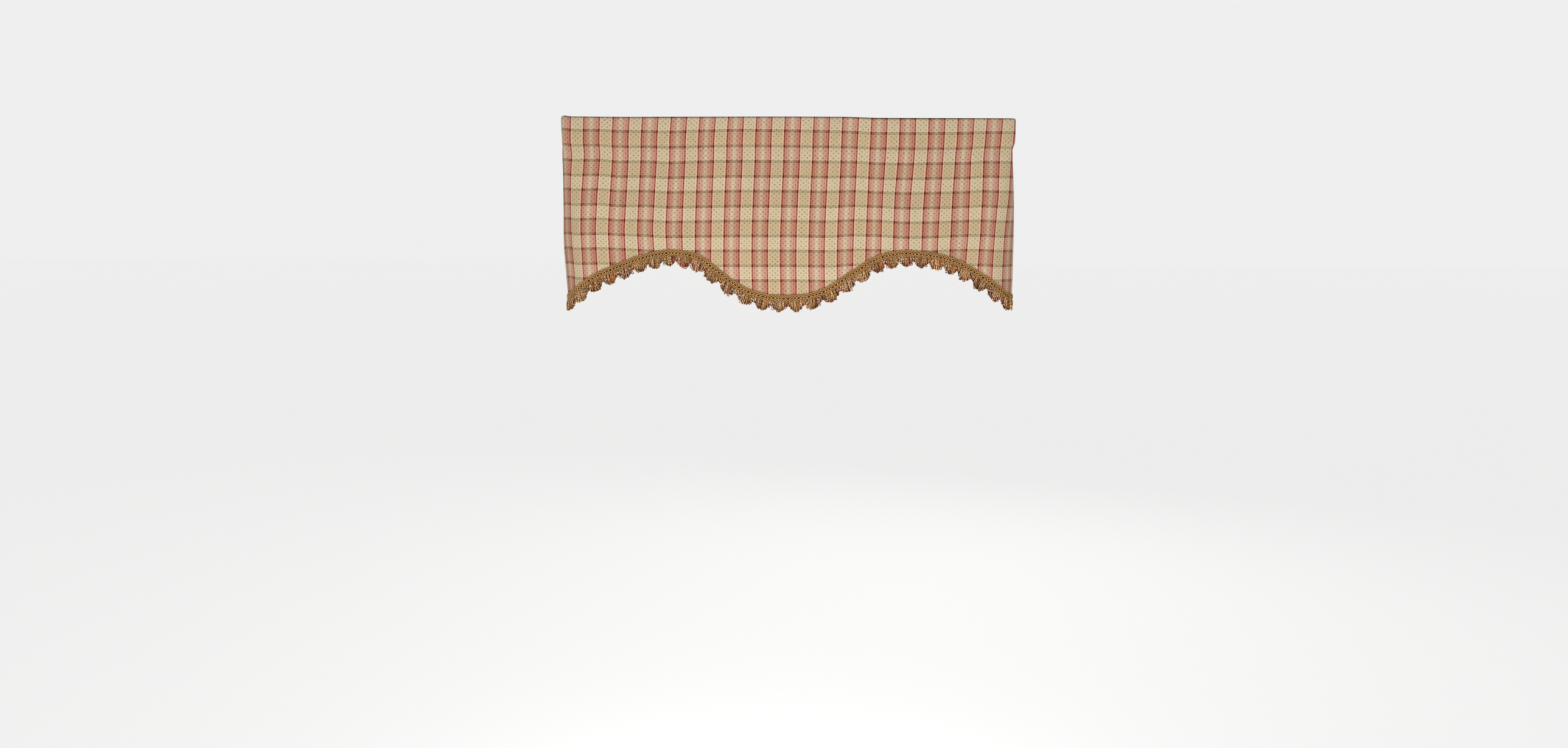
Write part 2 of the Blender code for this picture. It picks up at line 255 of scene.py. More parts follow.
class HungCloth:
    """Where the cloth's front layer hangs, for any place on it."""

    def __init__(self):
        self.distances = np.arange(0, PLAN_WIDEST, PLAN_STEP)
        self.drops = np.arange(0, PLAN_DEEPEST, PLAN_ROW)
        self.plans = {-1: self.plan("left", -1), 1: self.plan("right", 1)}
        self.along_line = np.linspace(-HALF_WIDTH, HALF_WIDTH, TRIM_POINTS)
        slants = hem_slant(self.along_line)
        lengths = np.hypot(1, (slants[1:] + slants[:-1]) / 2) * np.diff(self.along_line)
        line = np.concatenate([[0], np.cumsum(lengths)])
        self.trim_line = line - np.interp(0, self.along_line, line)
        self.trim_half = (self.trim_line[-1] - self.trim_line[0]) / 2

    def plan(self, name, side):
        """One side in plan, for every drop and every distance from the middle: x, y and heading."""
        drop = self.drops[:, None]
        distance = self.distances[None, :]
        turn = read(CORNERS, "turn_" + name, drop)
        radius = turn / (np.pi / 2)
        folds = np.arctan(side * fold_slope(side * distance, drop))
        hung = distance <= HALF_WIDTH + PLAN_STEP
        taken_up = np.sum((1 - np.cos(folds)) * hung, axis=1, keepdims=True) * PLAN_STEP
        turn_start = read(CORNERS, "reach_" + name, drop) - radius + taken_up
        corner = np.clip((distance - turn_start) / turn, 0, 1)
        heading = folds * (1 - corner) + corner * np.pi / 2
        middle = (heading[:, 1:] + heading[:, :-1]) / 2
        start = np.zeros((len(self.drops), 1))
        x = np.hstack([start, np.cumsum(np.cos(middle), axis=1)]) * PLAN_STEP
        y = np.hstack([start, np.cumsum(np.sin(middle), axis=1)]) * PLAN_STEP
        return x, y, heading

    def look_up(self, grid, drop, distance):
        """Reads a plan between its rows and columns."""
        row = np.clip(drop / PLAN_ROW, 0, len(self.drops) - 1.001)
        column = np.clip(distance / PLAN_STEP, 0, len(self.distances) - 1.001)
        r, c = row.astype(int), column.astype(int)
        a, b = row - r, column - c
        upper = grid[r, c] * (1 - b) + grid[r, c + 1] * b
        lower = grid[r + 1, c] * (1 - b) + grid[r + 1, c + 1] * b
        return upper * (1 - a) + lower * a

    def place(self, along, drop, set_back):
        """Points of the front layer, moved `set_back` from the layer's middle towards the wall."""
        along, drop, set_back = np.broadcast_arrays(*np.atleast_1d(along, drop, set_back))
        distance = np.abs(along)
        side = np.where(along < 0, -1.0, 1.0)
        left, right = self.plans[-1], self.plans[1]
        x, y, heading = (
            np.where(along < 0, self.look_up(left[k], drop, distance), self.look_up(right[k], drop, distance))
            for k in range(3)
        )
        front = -(POCKET_GAP + CLOTH_THICKNESS) / 2 - read(CORNERS, "swing", drop)
        back = set_back + relief(along, drop)
        x, y = side * (x - np.sin(heading) * back), front + y + np.cos(heading) * back
        return np.stack([x, y, read(TOP_EDGE, "rise", along) - drop], axis=-1)

    def along_at(self, run):
        """The place along the cloth at a length `run` measured on the braid's upper edge."""
        return np.interp(run, self.trim_line, self.along_line)

    def run_at(self, along):
        """The length on the braid's upper edge at a place along the cloth."""
        return np.interp(along, self.along_line, self.trim_line)

    def on_trim(self, run, down, out, hang=0.0, across=0.0):
        """Points of the trim: `down` square to the braid's upper edge, then `hang` below it as loops do.

        `across` is measured square to the loop, and `out` is the distance in front of the cloth.
        """
        along = self.along_at(run)
        tilt = np.arctan(hem_slant(along))
        lean = LOOP_LEAN * tilt
        side = along - down * np.sin(tilt) - hang * np.sin(lean) + across * np.cos(lean)
        drop = braid_top(along) + down * np.cos(tilt) + hang * np.cos(lean) + across * np.sin(lean)
        return self.place(side, drop, -CLOTH_THICKNESS / 2 - out)


# ----------------------------------------------------------------------
# The check: how its threads run over the hung cloth, and its sett.

# How far the stripes lean to the right at each drop, in millimetres
STRIPE_LEAN = table(
    "drop lean",
    (0.00, 0.5),
    (0.07, -2.2),
    (0.10, -2.8),
    (0.20, -6.8),
    (0.29, -9.5),
    (0.36, -10.3),
    (0.44, -9.0),
)

# How far single stripes wander from that, in millimetres to the right, at six heights of the cloth
WANDER_DROPS = (
    ("top", 0.01),
    ("above_seam", 0.068),
    ("below_seam", 0.10),
    ("middle", 0.20),
    ("low", 0.29),
    ("hem", 0.40),
)
STRIPE_WANDER = table(
    "along top above_seam below_seam middle low hem",
    (-0.58, 0.0, 0.0, 7.0, 2.5, 1.0, 8.0),
    (-0.53, -0.8, -0.5, 2.8, -1.8, -2.5, 2.5),
    (-0.50, -0.8, -0.5, 2.5, -2.5, -5.0, 0.0),
    (-0.44, 1.0, 0.0, 1.8, -1.6, -4.8, 0.2),
    (-0.40, 2.0, 0.5, 1.5, -0.4, -3.0, 3.0),
    (-0.35, 2.5, 0.5, 1.0, -1.3, -3.5, 5.0),
    (-0.20, 2.0, 0.0, 0.5, 0.0, 0.0, 0.0),
    (-0.05, 0.0, -0.5, 0.0, 0.0, -0.5, 0.0),
    (0.12, 0.0, 0.5, 0.5, 0.5, 0.0, 0.0),
    (0.21, 0.5, 0.5, 0.0, 0.8, 1.0, 0.0),
    (0.255, 0.0, 1.0, 0.0, -2.6, -2.0, -1.0),
    (0.30, -0.5, 1.0, 0.0, -3.5, -3.0, -2.5),
    (0.38, 0.5, 1.8, 0.5, 0.0, -1.0, -2.0),
    (0.415, 1.0, 1.5, -0.3, -1.2, -1.3, -3.5),
    (0.45, 1.0, 2.0, -1.0, 2.0, 4.5, 0.0),
    (0.50, 1.5, 0.5, -1.4, 3.0, 3.0, -3.0),
    (0.52, 1.2, -0.3, -1.5, 3.5, 0.5, -4.5),
    (0.58, 1.0, -0.5, -1.5, -1.5, -8.0, -7.0),
)

# How far the cross lines sag, in millimetres, at four heights of the cloth
SAG_DROPS = (("high", 0.05), ("upper", 0.15), ("lower", 0.25), ("low", 0.34))
LINE_SAG = table(
    "along high upper lower low",
    (-0.54, 1.1, -0.5, -2.0, -3.0),
    (-0.48, 1.1, -1.5, -3.5, -4.5),
    (-0.43, 3.6, 3.0, 0.5, -3.0),
    (-0.36, 3.6, 2.5, 0.5, 0.5),
    (-0.31, 4.6, 5.5, 3.5, 3.0),
    (-0.22, 2.1, 3.0, 2.5, 1.0),
    (-0.12, 0.1, 1.5, 0.5, 0.5),
    (0.00, 1.1, 1.5, 0.5, 0.0),
    (0.10, 2.1, 2.5, 1.5, 1.0),
    (0.18, 3.6, 0.5, -3.0, -4.0),
    (0.23, 4.1, 3.5, -2.5, -4.5),
    (0.30, 4.1, 4.0, 1.5, 0.0),
    (0.38, 3.6, 2.0, 0.5, -3.0),
    (0.45, 2.6, 1.0, -3.0, -6.0),
    (0.50, 0.6, -3.0, -4.5, -6.0),
    (0.54, 0.6, -2.5, -2.5, -4.0),
)

WARP_REPEAT = 0.0727
WEFT_REPEAT = 0.07574
FIRST_RED_LINE = -0.0080
FIRST_CROSS_LINE = 0.0376
CROSS_LINE_WIDTH = 0.0071
RED_LINE_WIDTH = 0.0035
DOT_COLUMN_STEP = WARP_REPEAT / 11
DOT_ROW_STEP = 0.011494
FIRST_DOT_COLUMN = 0.0189
FIRST_DOT_ROW = 0.0003
PIN_STEP = 0.0033
FLECK_STEP = 0.00575
WARP_PITCH = 0.00062
WEFT_PITCH = 0.00074

# Soft patches in the cloth's brightness, of slubs, clouds, mottling and streaks: their size across and down in
# millimetres, their detail, where their noise starts, their share, and whether only the red stripes have them
UNEVENNESS = table(
    "across down detail start share red_only",
    (11.0, 1.1, 2.0, 4.0, 0.10, False),
    (70.0, 90.0, 2.0, 9.0, 0.06, False),
    (2.6, 3.4, 7.0, 2.0, 0.16, False),
    (1.5, 30.0, 5.0, 2.0, 0.10, True),
)

# The stripes of one repeat, from the left edge of the first dark line: yarn, width in millimetres, how much of
# the face the warp covers, and how bright the stripe is where a cross line goes over it
SETT = table(
    "yarn width cover crossed",
    ("brick", 3.5, 0.81, 0.50),
    ("rose", 2.9, 0.66, 0.91),
    ("deep_rose", 1.8, 0.70, 0.86),
    ("blush", 3.2, 0.70, 0.90),
    ("dusk", 1.8, 0.68, 0.80),
    ("ecru", 4.2, 0.70, 0.99),
    ("pale", 5.8, 0.60, 1.15),
    ("ecru", 4.4, 0.70, 0.95),
    ("dusk", 1.8, 0.68, 0.86),
    ("blush", 4.0, 0.70, 0.89),
    ("deep_rose", 1.8, 0.70, 0.82),
    ("rose", 3.2, 0.66, 0.84),
    ("brick", 3.5, 0.81, 0.51),
    ("peach", 3.9, 0.65, 0.99),
    ("cream", 22.5, 0.58, 1.05),
    ("peach", 4.4, 0.65, 0.95),
)

# The red stripe takes up the first rows of the sett. Its middle is given in millimetres.
SETT_WIDTH = sum(row.width for row in SETT)
RED_ROWS = 13
RED_MIDDLE = 20.3

# Where the cross lines sag a little more than the rows of LINE_SAG say: the drop, the reach and the depth in
# millimetres
EXTRA_SAG = (0.115, 0.02, 0.8)


def read_across(rows, heights, along, drop):
    """Reads a table that has a row for each place along the cloth and a column for each height."""
    columns = [read(rows, name, along) for name, _ in heights]
    places = [place for _, place in heights]
    value = columns[0]
    for k in range(1, len(columns)):
        share = np.clip((drop - places[k - 1]) / (places[k] - places[k - 1]), 0, 1)
        value = value * (1 - share) + columns[k] * share
    return value


def threads_at(along, drop, across, down):
    """Which threads of the warp and the weft lie at a place: `across` and `down` on the flat cloth."""
    lean = read(STRIPE_LEAN, "lean", drop) + read_across(STRIPE_WANDER, WANDER_DROPS, along, drop)
    place, reach, depth = EXTRA_SAG
    sag = read_across(LINE_SAG, SAG_DROPS, along, drop) + depth * np.exp(-(((drop - place) / reach) ** 2))
    return across - FIRST_RED_LINE - lean * MM, down - sag * MM


# ----------------------------------------------------------------------
# Mesh making


def mesh_object(name, points, faces, material):
    """Makes a mesh object of one material."""
    data = bpy.data.meshes.new(name)
    data.from_pydata(points, [], faces)
    data.materials.append(material)
    made = bpy.data.objects.new(name, data)
    bpy.context.scene.collection.objects.link(made)
    return made


def new_piece(name, points, faces, material):
    """Makes a smooth piece of the valance and ties it to the frame."""
    piece = mesh_object(name, points.reshape(-1, 3).tolist(), faces.tolist(), material)
    piece.data.shade_smooth()
    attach(piece, "root")
    return piece


def store_map(data, name, values):
    """Stores a pair of numbers for every point as a named map."""
    corners = np.empty(len(data.loops), dtype=np.int32)
    data.loops.foreach_get("vertex_index", corners)
    layer = data.uv_layers.new(name=name, do_init=False)
    layer.uv.foreach_set("vector", values.reshape(-1, 2)[corners].astype(np.float32).ravel())


def store_colour(data, name, colours):
    """Stores a colour for every point."""
    layer = data.color_attributes.new(name=name, type="FLOAT_COLOR", domain="POINT")
    colours = colours.reshape(-1, 3)
    full = np.concatenate([colours, np.ones((len(colours), 1))], axis=1)
    layer.data.foreach_set("color", full.astype(np.float32).ravel())


def grid_faces(rows, columns, start=0):
    """Faces of a grid of points numbered row by row."""
    r, c = np.meshgrid(np.arange(rows - 1), np.arange(columns - 1), indexing="ij")
    first = (start + r * columns + c).ravel()
    return np.stack([first, first + 1, first + columns + 1, first + columns], axis=1)


def rim_faces(line_a, line_b):
    """Faces between two lines of point numbers."""
    return np.stack([line_a[:-1], line_a[1:], line_b[1:], line_b[:-1]], axis=1)


def unit(vectors):
    """The vectors, each made one long."""
    return vectors / np.linalg.norm(vectors, axis=-1, keepdims=True)


# ----------------------------------------------------------------------
# Materials


class Reading:
    """A number that a node gives, written so that patterns read as sums."""

    def __init__(self, finish, socket):
        self.finish = finish
        self.socket = socket

    def __add__(self, other):
        return self.finish.math("ADD", self, other)

    def __sub__(self, other):
        return self.finish.math("SUBTRACT", self, other)

    def __mul__(self, other):
        return self.finish.math("MULTIPLY", self, other)

    def __truediv__(self, other):
        return self.finish.math("DIVIDE", self, other)

    def __rsub__(self, other):
        return self.finish.math("SUBTRACT", other, self)

    __radd__ = __add__
    __rmul__ = __mul__


def feed(tree, socket, value):
    """Links a reading or a socket to a socket, or sets a plain value."""
    if isinstance(value, Reading):
        value = value.socket
    if isinstance(value, bpy.types.NodeSocket):
        tree.links.new(value, socket)
    else:
        socket.default_value = value


def add_node(tree, kind, *values, **settings):
    """Adds a node with its settings, and feeds its first inputs."""
    node = tree.nodes.new("ShaderNode" + kind)
    for name, value in settings.items():
        setattr(node, name, value)
    for socket, value in zip(node.inputs, values):
        feed(tree, socket, value)
    return node


class Finish:
    """A material, made one node at a time."""

    def __init__(self, name, roughness, sheen=0.0, specular=0.5):
        self.material = bpy.data.materials.new(name)
        self.material.use_nodes = True
        self.tree = self.material.node_tree
        self.shader = self.tree.nodes["Principled BSDF"]
        self.shader.inputs["Roughness"].default_value = roughness
        self.shader.inputs["Sheen Weight"].default_value = sheen
        self.shader.inputs["Specular IOR Level"].default_value = specular

    def node(self, kind, *values, **settings):
        """A new node of this material."""
        return add_node(self.tree, kind, *values, **settings)

    def math(self, operation, *values):
        """A sum of numbers or readings."""
        return Reading(self, self.node("Math", *values, operation=operation).outputs[0])

    def sine(self, value, length, start=0.0):
        """A sine wave from -1 to 1 with that length."""
        return self.math("SINE", (value / length + start) * (2 * np.pi))

    def step(self, value, start, end):
        """A soft step from 0 to 1 as the value goes from start to end."""
        node = self.node("MapRange", value, start, end, interpolation_type="SMOOTHSTEP")
        return Reading(self, node.outputs["Result"])

    def ramp(self, value, stops):
        """A colour ramp of sharp (place, colour, alpha) stops: gives the colour and the alpha."""
        node = self.node("ValToRGB", value)
        node.color_ramp.interpolation = "CONSTANT"
        elements = node.color_ramp.elements
        while len(elements) < len(stops):
            elements.new(1.0)
        for element, (place, colour, alpha) in zip(elements, stops):
            element.position = place
            element.color = (*colour, alpha)
        return node.outputs["Color"], Reading(self, node.outputs["Alpha"])

    def mix(self, share, first, second, blend="MIX"):
        """A blend of two colours."""
        node = self.node("Mix", share, data_type="RGBA", blend_type=blend)
        sockets = {socket.identifier: socket for socket in (*node.inputs, *node.outputs)}
        for name, value in (("A_Color", first), ("B_Color", second)):
            feed(self.tree, sockets[name], (*value, 1) if isinstance(value, tuple) else value)
        return sockets["Result_Color"]

    def parts(self, socket):
        """The first two numbers of a place."""
        parts = self.node("SeparateXYZ", socket)
        return Reading(self, parts.outputs["X"]), Reading(self, parts.outputs["Y"])

    def named_map(self, name):
        """The two numbers of a named map."""
        return self.parts(self.node("UVMap", uv_map=name).outputs["UV"])

    def named_colour(self, name):
        """A colour that is stored in the mesh."""
        return self.node("Attribute", attribute_name=name).outputs["Color"]

    def noise(self, x, y, detail=2.0, start=0.0):
        """Soft noise from 0 to 1 over two numbers."""
        node = self.node("TexNoise", self.node("CombineXYZ", x, y, start).outputs[0])
        node.inputs["Scale"].default_value = 1.0
        node.inputs["Detail"].default_value = detail
        return Reading(self, node.outputs["Fac"])

    def brighten(self, colour, factor):
        """The colour times a number."""
        node = self.node("VectorMath", colour, operation="SCALE")
        feed(self.tree, node.inputs["Scale"], factor)
        return node.outputs[0]

    def finish(self, colour, height=None, bump_distance=0.0002, bump_strength=0.5):
        """Joins the colour and the bump to the shader, and gives the material."""
        self.tree.links.new(colour, self.shader.inputs["Base Color"])
        if height is not None:
            bump = self.node("Bump", bump_strength, bump_distance)
            feed(self.tree, bump.inputs["Height"], height)
            self.tree.links.new(bump.outputs["Normal"], self.shader.inputs["Normal"])
        return self.material


def warp_stripes(finish, cloth, across):
    """The warp: its colour, its share of the face, its brightness under a cross line, and where it is red."""
    stripe = finish.math("FRACT", (across + RED_LINE_WIDTH / 2) / WARP_REPEAT)
    place = 0.0
    stops, crossed_stops = [], []
    for row in SETT:
        stops.append((place / SETT_WIDTH, tuple(getattr(cloth, row.yarn)), row.cover))
        crossed_stops.append((place / SETT_WIDTH, (0, 0, 0), row.crossed / 2))
        place += row.width
    warp, cover = finish.ramp(stripe, stops)
    crossed = finish.ramp(stripe, crossed_stops)[1] * 2
    red_share = sum(row.width for row in SETT[:RED_ROWS]) / SETT_WIDTH
    red = 1.0 - finish.step(stripe, red_share - 0.004, red_share + 0.004)
    middle = finish.math("ABSOLUTE", stripe * SETT_WIDTH - RED_MIDDLE)
    return warp, cover, crossed, red, middle


def weft_bands(finish, cloth, across, down):
    """The weft: tan and light bands with dark lines between, whose edges are soft and uneven."""
    ragged = down + (finish.noise(across / (0.8 * MM), down / (9 * MM), 1.0, 2.0) - 0.5) * (1.6 * MM)
    half_line = CROSS_LINE_WIDTH / 2 / WEFT_REPEAT
    band = finish.math("FRACT", (ragged - FIRST_CROSS_LINE) / WEFT_REPEAT)
    tan, light, olive = (tuple(getattr(cloth, key)) for key in ("tan", "light", "olive"))
    stops = [(0.0, olive, 1.0), (half_line, tan, 0.0), (0.5 - half_line, olive, 1.0)]
    stops += [(0.5 + half_line, light, 0.0), (1 - half_line, olive, 1.0)]
    weft, line = finish.ramp(band, stops)
    return weft, line, 1.0 - finish.step(band, 0.49, 0.51)


def woven_dots(finish, across, down):
    """Small dots, in columns that are staggered by half a row."""
    column_place = (across - FIRST_DOT_COLUMN) / DOT_COLUMN_STEP
    column = finish.math("ROUND", column_place)
    offset = finish.math("FLOORED_MODULO", column, 2.0) * 0.5
    row_place = (down - FIRST_DOT_ROW) / DOT_ROW_STEP + offset
    row = finish.math("ROUND", row_place)
    wobble = finish.noise(column * 7.31, row * 5.17, 0.0)
    side = (column_place - column) * (DOT_COLUMN_STEP / MM)
    rise = (row_place - row) * (DOT_ROW_STEP / MM)
    away = finish.math("SQRT", side * side + rise * rise)
    size = 0.75 + wobble * 0.8
    return (1.0 - finish.step(away, size - 0.55, size + 0.80)) * (0.65 + wobble * 0.6)


def check_cloth(cloth, name, wrong_side):
    """The woven check: a striped warp crossed by a banded weft, with small woven dots."""
    finish = Finish(name, roughness=0.9, sheen=0.04, specular=0.10)
    across, down = finish.named_map("threads")
    warp, cover, crossed, red, red_middle = warp_stripes(finish, cloth, across)
    weft, line, in_tan = weft_bands(finish, cloth, across, down)
    dot = woven_dots(finish, across, down)

    # Over the red stripes the cross lines break into short upright dashes
    dashes = finish.step(finish.sine(across, PIN_STEP, 0.25), -0.2, 0.5)
    seen_line = line * red
    share = cover - seen_line * dashes * (finish.math("MINIMUM", crossed, 1.0) - 0.62) + seen_line * 0.06
    woven = finish.mix(share, weft, warp)

    # Bright flecks down the middle of each red stripe
    fleck_rows = finish.step(finish.sine(down, FLECK_STEP, 0.1), -0.5, 0.9)
    flecks = (1.0 - finish.step(red_middle, 0.5, 2.1)) * fleck_rows

    grain = finish.noise(across / (0.9 * MM), down / (2.2 * MM), 3.0)
    tone = 0.72 + grain * 0.20
    for row in UNEVENNESS:
        patches = finish.noise(across / (row.across * MM), down / (row.down * MM), row.detail, row.start)
        tone = tone + patches * (red * row.share if row.red_only else row.share)
    tone = tone * (1.0 - line * (1.0 - crossed)) * (1.0 - 0.05 * red * in_tan)
    colour = finish.mix(flecks * (1.0 - line) * (0.2 if wrong_side else 0.45), woven, tuple(cloth.fleck))
    dotted = finish.mix(1.0, colour, tuple(cloth.dot), "MULTIPLY")
    colour = finish.mix(dot * (0.45 if wrong_side else 0.95), colour, dotted)
    if wrong_side:
        colour = finish.mix(0.30, colour, tuple(cloth.wrong_side))
    threads = finish.sine(across, WARP_PITCH) * finish.sine(down, WEFT_PITCH) * 0.5 + 0.5
    height = threads * 0.6 + grain * 0.5 + dot * 0.25
    return finish.finish(finish.brighten(colour, tone), height, bump_distance=0.00025, bump_strength=0.45)


def yarn_finish(name, roughness):
    """Spun yarn: its dye is stored in the mesh, broken up by fine fibres along its length."""
    finish = Finish(name, roughness=roughness, specular=0.06)
    around, length = finish.named_map("yarn")
    fibres = finish.noise(around * 5.0, length / (4 * MM), 3.0)
    patches = finish.noise(around * 0.7, length / (2.5 * MM), 2.0, 3.0)
    colour = finish.brighten(finish.named_colour("dye"), 0.72 + fibres * 0.34 + patches * 0.22)
    return finish.finish(colour, fibres, bump_distance=0.0003)


# ----------------------------------------------------------------------
# The cloth

RIGHT_SIDE = -0.0008
WRONG_SIDE = 0.0002
FOLD_RADIUS = 0.00025
TURNED_HEM = 0.012
SIDE_HEM = 0.012
POCKET_DEPTH = POCKET_GAP + CLOTH_THICKNESS
SEAM_BACK = 0.0026
COLUMN_STEP = 0.0039
SKIRT_ROWS = 70

# How much thicker the turned hem and the pocket's seam are where they cross the side hems
HEM_LUMP = 0.0022
SEAM_LUMP = 0.0011

# Drops of the cloth's lines round the seam, on the front and down the pocket's back. The back comes forward
# to the seam below BACK_TURN, and its edge is tucked under below TUCK_FOOT.
FRONT_SEAM_LINES = (0.0885, 0.0855, 0.083, 0.081, 0.0795, 0.0783, 0.0772)
FRONT_SEAM_LINES += (0.0762, 0.0752, 0.0742, 0.0728, 0.0705)
FRONT_POCKET_FOOT = 0.067
BACK_TURN = 0.0640
BACK_CLOSING = 0.0095
TUCK_FOOT = 0.0786
BACK_SEAM_LINES = (0.0752, 0.0768, TUCK_FOOT)
TUCKED_LINES = (TUCK_FOOT, 0.0750, 0.0715)
TURNED_HEM_PARTS = (1.0, 0.66, 0.33, 0.0)


def sheet_columns():
    """The cloth across its width: place, how far it is turned in, and the run on the flat cloth."""
    end = HALF_WIDTH - (FOLD_RADIUS - RIGHT_SIDE)
    flat = np.linspace(0, end, 1 + round(end / COLUMN_STEP))
    angles = np.linspace(0, np.pi, 5)[1:-1]
    turned = np.linspace(end, end - SIDE_HEM, 5)
    along = np.concatenate([flat, end + FOLD_RADIUS * np.sin(angles), turned])
    inward = np.concatenate([0 * flat, FOLD_RADIUS * (1 - np.cos(angles)), 0 * turned + 2 * FOLD_RADIUS])
    across = np.concatenate([[0], np.cumsum(np.hypot(np.diff(along), np.diff(inward)))])
    halves = ((along, -1), (inward, 1), (across, -1))
    return [np.concatenate([sign * part[:0:-1], part]) for part, sign in halves]


def sheet_path(along):
    """The cloth from its turned hem up the front, over the pocket and down to the seam behind.

    Gives how far back and how low each line of the cloth lies at each place along it, and the run down the
    flat cloth.
    """
    hem = braid_top(along) + (BRAID_HEIGHT - HEM_TUCK) * np.hypot(1, hem_slant(along))
    ends = smooth(HALF_WIDTH - SIDE_HEM - 0.008, HALF_WIDTH - SIDE_HEM - 0.001, np.abs(along))
    stack = 2 * FOLD_RADIUS + HEM_LUMP * ends
    foot = hem - stack / 2 + RIGHT_SIDE
    turned = TURNED_HEM * np.hypot(1, hem_slant(along))
    zero = np.zeros(len(along))
    lines = [(stack, foot - turned * part) for part in TURNED_HEM_PARTS]
    for angle in np.linspace(np.pi, 0, 6)[1:-1]:
        lines.append((stack / 2 * (1 - np.cos(angle)), foot + stack / 2 * np.sin(angle)))
    first_on_front = len(lines)
    skirt_top = FRONT_SECTION[-1].drop
    for part in np.linspace(0, 1, SKIRT_ROWS):
        lines.append((zero, foot + (skirt_top - foot) * part))
    radius = POCKET_DEPTH / 2
    roll = radius + read(TOP_EDGE, "turn_over", along)
    pocket = [FRONT_POCKET_FOOT + (roll - FRONT_POCKET_FOOT) * part for part in np.linspace(0, 1, 13)]
    for drop in [*FRONT_SEAM_LINES, *pocket]:
        lines.append((zero + read(FRONT_SECTION, "set_back", drop), zero + drop))
    last_on_front = len(lines) - 1
    for angle in np.linspace(0, np.pi, 11)[1:]:
        lines.append((zero + radius * (1 - np.cos(angle)), roll - radius * np.sin(angle)))
    for part in np.linspace(0, 1, 10)[1:]:
        lines.append((zero + POCKET_DEPTH, roll + (BACK_TURN - roll) * part))
    seam_back = SEAM_BACK + SEAM_LUMP * ends
    for part in np.linspace(0, 1, 8)[1:]:
        forward = (seam_back - POCKET_DEPTH) * smooth(0, 1, part)
        lines.append((POCKET_DEPTH + forward, zero + BACK_TURN + BACK_CLOSING * part))
    lines += [(seam_back, zero + drop) for drop in BACK_SEAM_LINES]
    for angle in np.linspace(0, np.pi, 5)[1:-1]:
        bend = zero + FOLD_RADIUS * np.sin(angle)
        lines.append((seam_back - FOLD_RADIUS * (1 - np.cos(angle)), TUCK_FOOT + bend))
    lines += [(seam_back - 2 * FOLD_RADIUS, zero + drop) for drop in TUCKED_LINES]
    back, drop = (np.array([line[k] for line in lines]) for k in (0, 1))
    steps = np.hypot(np.diff(back, axis=0), np.diff(drop, axis=0))
    walked = np.vstack([zero, np.cumsum(steps, axis=0)])
    run = walked[last_on_front] + drop[last_on_front] - walked
    # On the front the run is the drop itself, and below it the turned hem runs on from there
    last_turned = first_on_front - 1
    run[first_on_front : last_on_front + 1] = drop[first_on_front : last_on_front + 1]
    run[:first_on_front] += drop[first_on_front] - run[last_turned] + steps[last_turned]
    return back, drop, run


def turned_normals(first, second, axis):
    """Unit normals of a path that is given by two coordinates, towards the cloth's wrong side."""
    step_first = np.gradient(first, axis=axis)
    step_second = np.gradient(second, axis=axis)
    size = np.hypot(step_first, step_second)
    return -step_second / size, step_first / size


def make_cloth(hung, cloth):
    """The valance cloth as one sheet with its hems turned: right side, wrong side and the cut edges."""
    along, inward, across = sheet_columns()
    back, drop, run = sheet_path(along)
    to_back, to_drop = turned_normals(back, drop, 0)
    in_along, in_inward = turned_normals(along, inward, 0)
    rows, columns = back.shape
    layers = []
    for offset in (RIGHT_SIDE, WRONG_SIDE):
        depth = inward + offset * in_inward
        layers.append(hung.place(along + offset * in_along, drop + depth * to_drop, back + depth * to_back))
    points = np.stack(layers)
    count = rows * columns
    right = grid_faces(rows, columns)[:, ::-1]
    wrong = grid_faces(rows, columns, count)
    numbers = np.arange(count).reshape(rows, columns)
    rims = [
        rim_faces(numbers[0], numbers[0] + count)[:, ::-1],
        rim_faces(numbers[-1], numbers[-1] + count),
        rim_faces(numbers[:, 0], numbers[:, 0] + count),
        rim_faces(numbers[:, -1], numbers[:, -1] + count)[:, ::-1],
    ]
    faces = np.concatenate([right, wrong, *rims])[:, ::-1]
    piece = new_piece("check_cloth", points, faces, check_cloth(cloth, "Woven check", False))
    piece.data.materials.append(check_cloth(cloth, "Woven check, wrong side", True))
    indices = np.zeros(len(faces), dtype=np.int32)
    indices[len(right) :] = 1
    piece.data.polygons.foreach_set("material_index", indices)
    threads = np.stack(threads_at(along[None, :], np.clip(drop, 0, None), across[None, :], run), axis=-1)
    store_map(piece.data, "threads", np.stack([threads, threads]))
    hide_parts("valance_panel")


# ----------------------------------------------------------------------
# Yarn


def tube_faces(numbers, closed=False):
    """Faces of tubes, from point numbers as (tube, station, side)."""
    beside = np.roll(numbers, -1, axis=2)
    quads = np.stack([numbers, beside, np.roll(beside, -1, axis=1), np.roll(numbers, -1, axis=1)], axis=-1)
    return (quads if closed else quads[:, :-1]).reshape(-1, 4)


